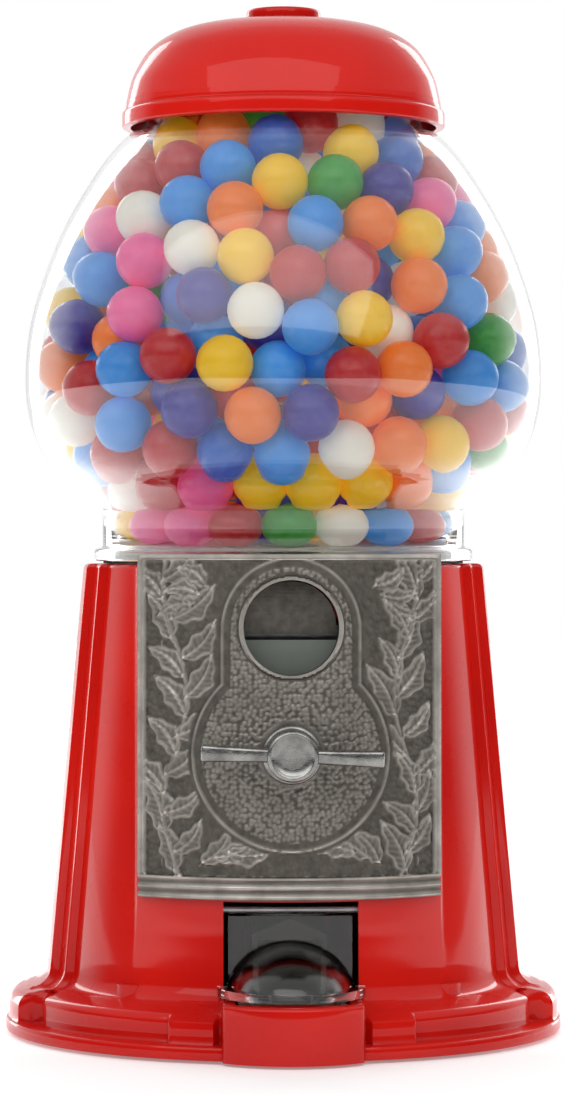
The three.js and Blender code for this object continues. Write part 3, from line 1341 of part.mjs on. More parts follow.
/** Half of an ellipsoid's dome, from a plane across Y forwards and from the flap's foot up. */
function dome(halfWidth, reach, height, plane) {
  const ball = new THREE.SphereGeometry(1, 28, 14).scale(halfWidth, reach, height);
  const upper = block(-30, 30, plane - 40, plane, FLAP_BOTTOM, FLAP_BOTTOM + 40);
  return common(ball.translate(0, plane, FLAP_BOTTOM), upper);
}

/** The flange round the scoop's foot: it stands wider than the opening, in front of the body. */
function scoopRim() {
  const plane = FLAP_FRONT - (SCOOP_REACH - SCOOP_RIM_REACH);
  const plan = new THREE.Shape();
  plan.moveTo(SCOOP_HALF_WIDTH, FLAP_FRONT);
  plan.lineTo(-SCOOP_HALF_WIDTH, FLAP_FRONT);
  plan.lineTo(-SCOOP_HALF_WIDTH, plane);
  plan.absellipse(0, plane, SCOOP_RIM_HALF_WIDTH, SCOOP_RIM_REACH + 0.5, Math.PI, 2 * Math.PI, false, 0);
  plan.lineTo(SCOOP_HALF_WIDTH, plane);
  return prismZ(plan, FLAP_BOTTOM, FLAP_BOTTOM + SCOOP_RIM_HEIGHT, 24);
}

/** The doorway through the flap's sheet into its scoop, arched like the scoop itself. */
function doorway() {
  const arch = new THREE.Shape();
  const halfWidth = SCOOP_HALF_WIDTH - 2 * SCOOP_WALL;
  arch.absellipse(0, FLAP_BOTTOM, halfWidth, SCOOP_HEIGHT - SCOOP_WALL, 0, 2 * Math.PI, false, 0);
  return prismY(arch, FLAP_FRONT - 1, FLAP_BACK + 1, 16);
}

function flap() {
  const inner = [SCOOP_HALF_WIDTH - SCOOP_WALL, SCOOP_REACH - SCOOP_WALL, SCOOP_HEIGHT - SCOOP_WALL];
  const wide = FLAP_HALF_WIDTH;
  return cut(
    join(
      block(-wide, wide, FLAP_FRONT, FLAP_BACK, FLAP_BOTTOM, FLAP_PIN_Z),
      cylinderX(FLAP_BARREL_RADIUS, -wide, wide, FLAP_PIN_Y, FLAP_PIN_Z),
      dome(SCOOP_HALF_WIDTH, SCOOP_REACH, SCOOP_HEIGHT, FLAP_FRONT),
      scoopRim(),
    ),
    dome(...inner, FLAP_FRONT),
    doorway(),
    flapBore(),
  );
}

function flapBore() {
  const half = FLAP_HALF_WIDTH + 1;
  return cylinderX(FLAP_PIN_RADIUS + SEAT_GAP, -half, half, FLAP_PIN_Y, FLAP_PIN_Z);
}

piece('flap', flap(), CLEAR_PLASTIC);
piece(
  'flap_pin',
  cylinderX(FLAP_PIN_RADIUS, -PIN_HALF_LENGTH, PIN_HALF_LENGTH, FLAP_PIN_Y, FLAP_PIN_Z),
  STEEL,
);

export default machine;
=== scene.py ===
"""A table-top gumball machine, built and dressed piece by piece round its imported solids.

The machine is laid out in millimetres about the centre rod's axis, front towards -Y, and each mesh is
scaled to metres in the row frame when it is made. Every piece rides on the body that it belongs to.
"""
import json
import logging
import math
from dataclasses import dataclass, field
from enum import Enum
from typing import Iterable, Sequence

import bpy
import numpy as np
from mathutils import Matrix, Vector


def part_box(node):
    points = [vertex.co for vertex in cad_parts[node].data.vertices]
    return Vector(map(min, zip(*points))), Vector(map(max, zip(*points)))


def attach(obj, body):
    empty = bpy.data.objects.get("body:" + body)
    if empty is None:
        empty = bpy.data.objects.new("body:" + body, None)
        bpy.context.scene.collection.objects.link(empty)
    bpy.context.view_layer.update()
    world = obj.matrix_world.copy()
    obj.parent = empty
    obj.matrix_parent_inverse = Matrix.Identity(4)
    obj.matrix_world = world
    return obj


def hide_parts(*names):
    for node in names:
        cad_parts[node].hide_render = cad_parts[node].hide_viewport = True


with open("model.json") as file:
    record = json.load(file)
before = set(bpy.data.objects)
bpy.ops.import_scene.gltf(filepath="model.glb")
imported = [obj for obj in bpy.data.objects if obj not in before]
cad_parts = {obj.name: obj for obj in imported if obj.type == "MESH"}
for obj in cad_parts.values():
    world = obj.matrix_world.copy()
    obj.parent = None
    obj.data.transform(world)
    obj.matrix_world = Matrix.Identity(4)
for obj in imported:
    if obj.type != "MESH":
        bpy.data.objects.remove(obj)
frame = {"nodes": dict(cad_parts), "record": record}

logging.basicConfig(level=logging.INFO, format="%(message)s")
LOG = logging.getLogger("gumball_machine")

Pair = tuple[float, float]
Triple = tuple[float, float, float]
Profile = list[Pair]
Socket = bpy.types.NodeSocket

ON_AXIS = 1e-6  # a radius below this lies on the axis
ROUNDING_STEPS = 4  # straight steps in a quarter round
RANGE_ENDS = ("From Min", "From Max", "To Min", "To Max")


# ------------------------------------------------------------------ shape helpers


def rod_axis_y() -> float:
    """Return the centre rod's place along Y, in millimetres in the row frame."""
    low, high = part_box("centre_rod")
    return (low.y + high.y) * 500.0


@dataclass
class Skin:
    """Vertices in millimetres about the rod's axis, and the faces between them.

    Attributes:
        points: One row of x, y and z per vertex.
        faces: Vertex numbers of each face, turning outwards.
    """

    points: np.ndarray
    faces: list[tuple[int, ...]]

    def placed(self) -> bpy.types.Mesh:
        """Return a mesh in metres in the row frame.

        Returns:
            The mesh.
        """
        mesh = bpy.data.meshes.new("skin")
        rows = (self.points + np.array([0.0, rod_axis_y(), 0.0])) / 1000.0
        mesh.from_pydata(rows.tolist(), [], self.faces)
        mesh.update()
        return mesh


def turned(profile: Sequence[Pair], segments: int) -> Skin:
    """Turn an outline about the rod's axis.

    Args:
        profile: Pairs of radius and height, anticlockwise seen with the axis at the left. An outline
            that starts and ends on the axis is closed there, and any other closes on itself.
        segments: Number of steps round the axis.

    Returns:
        A closed skin.
    """
    points: list[Triple] = []
    rings: list[list[int]] = []
    for radius, height in profile:
        if radius < ON_AXIS:
            rings.append([len(points)] * segments)
            points.append((0.0, 0.0, height))
            continue
        start = len(points)
        for i in range(segments):
            turn = 2.0 * math.pi * i / segments
            points.append((radius * math.cos(turn), radius * math.sin(turn), height))
        rings.append(list(range(start, start + segments)))
    if profile[0][0] > ON_AXIS:
        rings.append(rings[0])
    faces = []
    for low, high in zip(rings, rings[1:]):
        for i in range(segments):
            j = (i + 1) % segments
            face = tuple(dict.fromkeys((low[i], low[j], high[j], high[i])))
            if len(face) > 2:
                faces.append(face)
    return Skin(np.array(points), faces)


def about_shaft(skin: Skin, shaft_z: float) -> Skin:
    """Lay a turned skin along the handle's shaft, its heights becoming places along Y."""
    x, y, z = skin.points.T
    return Skin(np.column_stack([x, z, shaft_z - y]), skin.faces)


def across(skin: Skin, y: float, z: float) -> Skin:
    """Lay a turned skin along X, its heights becoming places along X, at a place in Y and Z."""
    a, b, c = skin.points.T
    return Skin(np.column_stack([c, a + y, b + z]), skin.faces)


def moved(skin: Skin, x: float = 0.0, y: float = 0.0, z: float = 0.0) -> Skin:
    """Return a skin shifted by a distance along each axis."""
    return Skin(skin.points + np.array([x, y, z]), skin.faces)


def rod(radius: float, low: float, high: float, segments: int = 48) -> Skin:
    """Return a plain round bar about the axis, used as a cutter or a core."""
    return turned([(0.0, low), (radius, low), (radius, high), (0.0, high)], segments)


def slab(x: Pair, y: Pair, z: Pair) -> Skin:
    """Return a box between limits on each axis.

    Args:
        x: Limits along X.
        y: Limits along Y.
        z: Limits along Z.

    Returns:
        A closed skin.
    """
    corners = np.array([[a, b, c] for a in x for b in y for c in z])
    faces = [(0, 1, 3, 2), (4, 6, 7, 5), (0, 4, 5, 1), (2, 3, 7, 6), (0, 2, 6, 4), (1, 5, 7, 3)]
    return Skin(corners, faces)


def raised(outline: Sequence[Pair], low: float, high: float) -> Skin:
    """Raise a plan outline, anticlockwise from above, between two heights.

    Args:
        outline: The corners, in order.
        low: Height of the bottom.
        high: Height of the top.

    Returns:
        A closed skin.
    """
    count = len(outline)
    points = [(x, y, low) for x, y in outline] + [(x, y, high) for x, y in outline]
    faces: list[tuple[int, ...]] = [tuple(reversed(range(count))), tuple(range(count, 2 * count))]
    for i in range(count):
        j = (i + 1) % count
        faces.append((i, j, j + count, i + count))
    return Skin(np.array(points), faces)


def rounded(corner: Pair, before: float, after: float, size: float) -> Profile:
    """Return a quarter round that replaces a square corner of an outline.

    Args:
        corner: Radius and height of the corner.
        before: Direction in degrees that the outline comes from, seen from the corner.
        after: Direction in degrees that it leaves in.
        size: Radius of the rounding.

    Returns:
        The points of the rounding, in order.
    """
    start = np.array([math.cos(math.radians(before)), math.sin(math.radians(before))]) * size
    end = np.array([math.cos(math.radians(after)), math.sin(math.radians(after))]) * size
    centre = np.array(corner) + start + end
    points = []
    for i in range(ROUNDING_STEPS + 1):
        turn = math.pi / 2 * i / ROUNDING_STEPS
        place = centre - end * math.cos(turn) - start * math.sin(turn)
        points.append((float(place[0]), float(place[1])))
    return points


def spline(knots: Sequence[Pair], steps: int) -> Profile:
    """Return points on a Catmull-Rom curve through knots of an outline.

    Args:
        knots: The points that the curve goes through.
        steps: Points between one knot and the next.

    Returns:
        The points of the curve, in order.
    """
    ends = [knots[0], *knots, knots[-1]]
    curve = []
    for p0, p1, p2, p3 in zip(ends, ends[1:], ends[2:], ends[3:]):
        a, b, c, d = (np.array(p) for p in (p0, p1, p2, p3))
        for i in range(steps):
            t = i / steps
            square, cube = 2 * a - 5 * b + 4 * c - d, 3 * b - a - 3 * c + d
            place = 0.5 * (2 * b + (c - a) * t + square * t**2 + cube * t**3)
            curve.append((float(place[0]), float(place[1])))
    return [*curve, tuple(knots[-1])]


def inset(outline: Profile, wall: float) -> Profile:
    """Return an upward outline moved towards the axis by a wall's thickness, square to itself.

    Args:
        outline: The outer outline.
        wall: Thickness of the wall.

    Returns:
        The inner outline.
    """
    result = []
    for i, (radius, height) in enumerate(outline):
        before = outline[max(i - 1, 0)]
        after = outline[min(i + 1, len(outline) - 1)]
        run, rise = after[0] - before[0], after[1] - before[1]
        length = math.hypot(run, rise)
        result.append((radius - wall * rise / length, height + wall * run / length))
    return result


def ease(value: np.ndarray | float) -> np.ndarray:
    """Return a smooth step from 0 to 1 as a value goes from 0 to 1."""
    held = np.clip(value, 0.0, 1.0)
    return held * held * (3.0 - 2.0 * held)


def soft_max(first: np.ndarray, second: np.ndarray, width: float) -> np.ndarray:
    """Return the larger of two values, rounded over where they meet."""
    return (first + second + np.sqrt((first - second) ** 2 + width**2)) / 2.0


class Join(Enum):
    """How a cutter meets a piece."""

    ADD = "UNION"
    CUT = "DIFFERENCE"


def loose_object(name: str, mesh: bpy.types.Mesh) -> bpy.types.Object:
    """Return a new object in the scene that holds a mesh.

    Args:
        name: The object's name.
        mesh: What it holds.

    Returns:
        The object.
    """
    item = bpy.data.objects.new(name, mesh)
    bpy.context.scene.collection.objects.link(item)
    return item


def settled(item: bpy.types.Object) -> bpy.types.Object:
    """Turn an object's modifiers into plain mesh, and take them off.

    Args:
        item: The object.

    Returns:
        The same object, with plain mesh.
    """
    bpy.context.view_layer.update()
    graph = bpy.context.evaluated_depsgraph_get()
    shown = item.evaluated_get(graph)
    mesh = bpy.data.meshes.new_from_object(shown, preserve_all_data_layers=True, depsgraph=graph)
    item.modifiers.clear()
    item.data = mesh
    return item


def shaped(item: bpy.types.Object, work: Iterable[tuple[Join, Skin]]) -> bpy.types.Object:
    """Join cutters to an object and cut them from it, in order.

    Args:
        item: The object to work on.
        work: Each cutter with the way it is used.

    Returns:
        The same object, with plain mesh.
    """
    tools = []
    for way, skin in work:
        tool = loose_object("cutter", skin.placed())
        modifier = item.modifiers.new("work", "BOOLEAN")
        modifier.operation = way.value
        modifier.solver = "MANIFOLD"
        modifier.object = tool
        tools.append(tool)
    settled(item)
    for tool in tools:
        bpy.data.objects.remove(tool)
    return item


def finished(
    item: bpy.types.Object, finish: "Finish", body: str, stands_for: Sequence[str], crease: float = 35.0
) -> None:
    """Give a piece its finish, its shading and its body, and hide the solids that it stands for.

    Args:
        item: The piece, in place.
        finish: What it is made of.
        body: The body that it rides on.
        stands_for: The solids that it is shown for.
        crease: Edges sharper than this angle in degrees stay crisp.
    """
    mesh = item.data
    mesh.materials.clear()
    mesh.materials.append(finish.material())
    mesh.polygons.foreach_set("use_smooth", [True] * len(mesh.polygons))
    mesh.polygons.foreach_set("material_index", [0] * len(mesh.polygons))
    mesh.set_sharp_from_angle(angle=math.radians(crease))
    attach(item, body)
    if stands_for:
        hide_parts(*stands_for)
    LOG.info("%s: %d faces on %s", item.name, len(mesh.polygons), body)


# ------------------------------------------------------------------ finishes


class ShaderSheet:
    """A material's node tree, with short ways to add and join nodes."""

    def __init__(self, name: str) -> None:
        """Start a material with a single surface shader.

        Args:
            name: The material's name.
        """
        self.look = bpy.data.materials.new(name)
        self.look.use_nodes = True
        self.tree = self.look.node_tree
        self.surface = self.tree.nodes["Principled BSDF"]
        self.coords = self.tree.nodes.new("ShaderNodeTexCoord")

    def set(self, **values: float | tuple[float, ...]) -> None:
        """Set the surface shader's own sockets, by their names with underscores for spaces."""
        for name, value in values.items():
            self.surface.inputs[name.replace("_", " ")].default_value = value

    def join(self, source: Socket, target: Socket) -> None:
        """Join an output socket to an input socket."""
        self.tree.links.new(source, target)

    def noise(self, scale: float, detail: float, stretch: Triple = (1, 1, 1)) -> Socket:
        """Return a noise value over the object's own coordinates.

        Args:
            scale: Number of noise cells per metre.
            detail: Number of finer layers.
            stretch: Scale along each axis.

        Returns:
            The noise's value socket.
        """
        place = self.tree.nodes.new("ShaderNodeMapping")
        place.inputs["Scale"].default_value = stretch
        self.join(self.coords.outputs["Object"], place.inputs["Vector"])
        node = self.tree.nodes.new("ShaderNodeTexNoise")
        node.inputs["Scale"].default_value = scale
        node.inputs["Detail"].default_value = detail
        self.join(place.outputs["Vector"], node.inputs["Vector"])
        return node.outputs["Fac"]

    def ramp(self, value: Socket, low: float, high: float, start: float = 0.0, end: float = 1.0) -> Socket:
        """Return a value carried from one range to another, held at its ends.

        Args:
            value: The value to carry.
            low: Value that gives the start.
            high: Value that gives the end.
            start: Result at the low value.
            end: Result at the high value.

        Returns:
            The result.
        """
        node = self.tree.nodes.new("ShaderNodeMapRange")
        for name, number in zip(RANGE_ENDS, (low, high, start, end)):
            node.inputs[name].default_value = number
        self.join(value, node.inputs["Value"])
        return node.outputs["Result"]

    def blend(self, value: Socket, first: Socket | Triple, second: Socket | Triple) -> Socket:
        """Return two colours mixed by a value; each is a colour or another node's socket.

        Args:
            value: Share of the second colour.
            first: First colour, or the socket of one.
            second: Second colour, or the socket of one.

        Returns:
            The mixed colour.
        """
        node = self.tree.nodes.new("ShaderNodeMix")
        node.data_type = "RGBA"
        self.join(value, node.inputs["Factor"])
        for socket, colour in ((node.inputs[6], first), (node.inputs[7], second)):
            if isinstance(colour, Socket):
                self.join(colour, socket)
            else:
                socket.default_value = (*colour, 1.0)
        return node.outputs[2]

    def product(self, first: Socket, second: Socket) -> Socket:
        """Return the product of two values.

        Args:
            first: One value.
            second: The other value.

        Returns:
            Their product.
        """
        node = self.tree.nodes.new("ShaderNodeMath")
        node.operation = "MULTIPLY"
        self.join(first, node.inputs[0])
        self.join(second, node.inputs[1])
        return node.outputs[0]

    def relief(self, value: Socket, depth: float, strength: float) -> None:
        """Roughen the surface by a value, over a depth in metres.

        Args:
            value: Height of the relief.
            depth: Distance that a value of 1 stands for, in metres.
            strength: Share of the relief that shows.
        """
        node = self.tree.nodes.new("ShaderNodeBump")
        node.inputs["Distance"].default_value = depth
        node.inputs["Strength"].default_value = strength
        self.join(value, node.inputs["Height"])
        self.join(node.outputs["Normal"], self.surface.inputs["Normal"])

    def colour(self, source: Socket) -> None:
        """Use a socket as the base colour."""
        self.join(source, self.surface.inputs["Base Color"])

    def rough(self, source: Socket) -> None:
        """Use a socket as the roughness."""
        self.join(source, self.surface.inputs["Roughness"])


@dataclass(frozen=True)
class Finish:
    """What a piece is made of.

    Attributes:
        name: The material's name.
        slot: The record's material slot that it belongs to.
    """

    name: str
    slot: str

    def material(self) -> bpy.types.Material:
        """Return the finish's material, made the first time that it is asked for.

        Returns:
            The material.
        """
        known = bpy.data.materials.get(self.name)
        if known is not None:
            return known
        sheet = ShaderSheet(self.name)
        self.paint(sheet)
        return sheet.look

    def paint(self, sheet: ShaderSheet) -> None:
        """Fill a material's sheet with this finish."""
        raise NotImplementedError


@dataclass(frozen=True)
class GlossEnamel(Finish):
    """Thick gloss enamel over cast metal, with a faint orange peel."""

    deep: Triple = (0.50, 0.005, 0.003)
    bright: Triple = (0.60, 0.010, 0.005)

    def paint(self, sheet: ShaderSheet) -> None:
        """Fill a material's sheet with this finish.

        Args:
            sheet: The material's sheet.
        """
        sheet.set(Coat_Weight=0.5, Coat_Roughness=0.05, IOR=1.5, Specular_IOR_Level=0.04)
        drift = sheet.ramp(sheet.noise(18.0, 2.0), 0.35, 0.65)
        sheet.colour(sheet.blend(drift, self.deep, self.bright))
        sheet.rough(sheet.ramp(sheet.noise(60.0, 3.0), 0.3, 0.7, 0.24, 0.36))
        sheet.relief(sheet.noise(260.0, 1.0), 0.00006, 0.5)


@dataclass(frozen=True)
class WornPewter(Finish):
    """Dark plated relief whose high places are rubbed bright.

    Attributes:
        ground: Distance from the rod's axis of the dark ground, in millimetres.
        crest: Distance from the rod's axis of the brightest edges, in millimetres.
    """

    ground: float = 63.15
    crest: float = 63.95

    def paint(self, sheet: ShaderSheet) -> None:
        """Fill a material's sheet with this finish.

        Args:
            sheet: The material's sheet.
        """
        sheet.set(Metallic=1.0)
        nodes = sheet.tree.nodes
        shift = nodes.new("ShaderNodeMapping")
        shift.inputs["Location"].default_value = (0.0, -rod_axis_y() / 1000.0, 0.0)
        shift.inputs["Scale"].default_value = (1.0, 1.0, 0.0)
        sheet.join(sheet.coords.outputs["Object"], shift.inputs["Vector"])
        length = nodes.new("ShaderNodeVectorMath")
        length.operation = "LENGTH"
        sheet.join(shift.outputs["Vector"], length.inputs[0])
        height = sheet.ramp(length.outputs["Value"], self.ground / 1000.0, self.crest / 1000.0)
        stain = sheet.ramp(sheet.noise(140.0, 5.0), 0.3, 0.7, 0.55, 1.15)
        wear = sheet.product(height, stain)
        dark = sheet.blend(sheet.noise(420.0, 4.0), (0.05, 0.045, 0.038), (0.16, 0.148, 0.13))
        sheet.colour(sheet.blend(wear, dark, (0.44, 0.41, 0.37)))
        sheet.rough(sheet.ramp(wear, 0.0, 1.0, 0.5, 0.3))
        sheet.relief(sheet.noise(1500.0, 3.0), 0.00012, 0.6)


@dataclass(frozen=True)
class BareMetal(Finish):
    """Plated or plain metal with faint brushing and handling marks."""

    light: Triple = (0.34, 0.335, 0.32)
    dark: Triple = (0.19, 0.187, 0.18)
    smooth: float = 0.16
    dull: float = 0.34
    brushing: Triple = (1.0, 1.0, 12.0)

    def paint(self, sheet: ShaderSheet) -> None:
        """Fill a material's sheet with this finish.

        Args:
            sheet: The material's sheet.
        """
        sheet.set(Metallic=1.0)
        marks = sheet.noise(220.0, 5.0)
        sheet.colour(sheet.blend(sheet.ramp(marks, 0.35, 0.65), self.dark, self.light))
        strokes = sheet.noise(500.0, 3.0, self.brushing)
        sheet.rough(sheet.ramp(strokes, 0.3, 0.7, self.smooth, self.dull))
        sheet.relief(strokes, 0.00003, 0.35)


@dataclass(frozen=True)
class PressedGlass(Finish):
    """Clear pressed glass with the faint waves that the mould leaves."""

    def paint(self, sheet: ShaderSheet) -> None:
        """Fill a material's sheet with this finish.

        Args:
            sheet: The material's sheet.
        """
        sheet.set(Transmission_Weight=1.0, IOR=1.46, Roughness=0.0)
        tint = sheet.ramp(sheet.noise(9.0, 1.0), 0.3, 0.7)
        sheet.colour(sheet.blend(tint, (0.975, 0.99, 0.985), (0.99, 1.0, 0.995)))
        sheet.relief(sheet.noise(26.0, 1.0), 0.0004, 0.12)


@dataclass(frozen=True)
class SmokedClearWithPaintedShade(Finish):
    """Thin smoked clear plastic with light scuffs; the flap's sheet is tinted darker than its scoop as
    painted shade for the dark recess behind it.

    Attributes:
        sheet_front: Front of the flap's sheet, in millimetres from the rod's axis.
        fade: How far to each side of it the painted shade tint fades in, in millimetres.
    """

    sheet_front: float = -53.9
    fade: float = 0.6

    def paint(self, sheet: ShaderSheet) -> None:
        """Fill a material's sheet with this finish.

        Args:
            sheet: The material's sheet.
        """
        sheet.set(Transmission_Weight=1.0, IOR=1.46)
        scuffs = sheet.noise(300.0, 5.0)
        place = sheet.tree.nodes.new("ShaderNodeSeparateXYZ")
        sheet.join(sheet.coords.outputs["Object"], place.inputs["Vector"])
        front, fade = (self.sheet_front + rod_axis_y()) / 1000.0, self.fade / 1000.0
        # painted shade: from the sheet's front backwards the flap is tinted dark (0.45, 0.42, 0.42), standing
        # for the shade of the recess behind it
        depth = sheet.ramp(place.outputs["Y"], front - fade, front + fade)
        clear = sheet.blend(scuffs, (0.90, 0.88, 0.87), (0.97, 0.95, 0.94))
        sheet.colour(sheet.blend(depth, clear, (0.45, 0.42, 0.42)))
        sheet.rough(sheet.ramp(scuffs, 0.45, 0.75, 0.02, 0.14))
        sheet.relief(sheet.noise(40.0, 1.0), 0.0003, 0.1)


@dataclass(frozen=True)
class MouldedPlastic(Finish):
    """Opaque moulded plastic or rubber with a fine grain.

    Attributes:
        light: Base colour on the grain's high places.
        dark: Base colour in its hollows.
        grain: Depth of the grain in metres.
        dull: Roughness in the hollows.
    """

    light: Triple = (0.80, 0.79, 0.74)
    dark: Triple = (0.66, 0.65, 0.60)
    grain: float = 0.00006
    dull: float = 0.55

    def paint(self, sheet: ShaderSheet) -> None:
        """Fill a material's sheet with this finish.

        Args:
            sheet: The material's sheet.
        """
        clouds = sheet.noise(70.0, 4.0)
        sheet.colour(sheet.blend(sheet.ramp(clouds, 0.3, 0.7), self.dark, self.light))
        sheet.rough(sheet.ramp(clouds, 0.3, 0.7, self.dull, self.dull - 0.16))
        sheet.relief(sheet.noise(1800.0, 2.0), self.grain, 0.5)


@dataclass(frozen=True)
class SugarShell(Finish):
    """The polished sugar shell of a gumball, in the colour that each ball carries, which also glows faintly
    in that colour as painted light.
    """

    def paint(self, sheet: ShaderSheet) -> None:
        """Fill a material's sheet with this finish.

        Args:
            sheet: The material's sheet.
        """
        # painted light: emission strength 0.15 makes each shell glow faintly, though it is no lamp
        sheet.set(Coat_Weight=0.3, Coat_Roughness=0.12, Specular_IOR_Level=0.25, Emission_Strength=0.15)
        own = sheet.tree.nodes.new("ShaderNodeAttribute")
        own.attribute_name = "shell_colour"
        speck = sheet.ramp(sheet.noise(420.0, 4.0), 0.3, 0.75, 0.0, 0.05)
        sheet.colour(sheet.blend(speck, own.outputs["Color"], (0.9, 0.9, 0.9)))
        # painted light: the shell's own colour is also the colour of its glow
        sheet.join(own.outputs["Color"], sheet.surface.inputs["Emission Color"])
        sheet.rough(sheet.ramp(sheet.noise(260.0, 3.0), 0.3, 0.7, 0.3, 0.45))
        sheet.relief(sheet.noise(520.0, 3.0), 0.00015, 0.35)


RED_ENAMEL = GlossEnamel("gloss_enamel", "red_enamel")
PEWTER = WornPewter("worn_pewter", "pewter")
BRIGHT_METAL = BareMetal("plated_metal", "bright_metal")
PLAIN_STEEL = BareMetal("plain_steel", "steel", (0.50, 0.50, 0.52), (0.36, 0.36, 0.38), 0.28, 0.46)
GLASS = PressedGlass("pressed_glass", "glass")
SMOKED_AND_PAINTED_SHADE = SmokedClearWithPaintedShade("smoked_clear_with_painted_shade", "clear_plastic")
WHITE_PLASTIC = MouldedPlastic("moulded_white", "white_plastic")
GREY_PLASTIC = MouldedPlastic("moulded_grey", "grey_plastic", (0.115, 0.130, 0.112), (0.095, 0.108, 0.092))
BLACK_PLASTIC = MouldedPlastic("moulded_black", "black_plastic", (0.022, 0.022, 0.024), (0.014, 0.014, 0.015))
RUBBER = MouldedPlastic("black_rubber", "rubber", (0.025, 0.025, 0.025), (0.015, 0.015, 0.015), 0.0001, 0.9)
SUGAR = SugarShell("sugar_shell", "white_plastic")


# ------------------------------------------------------------------ cabinet casting


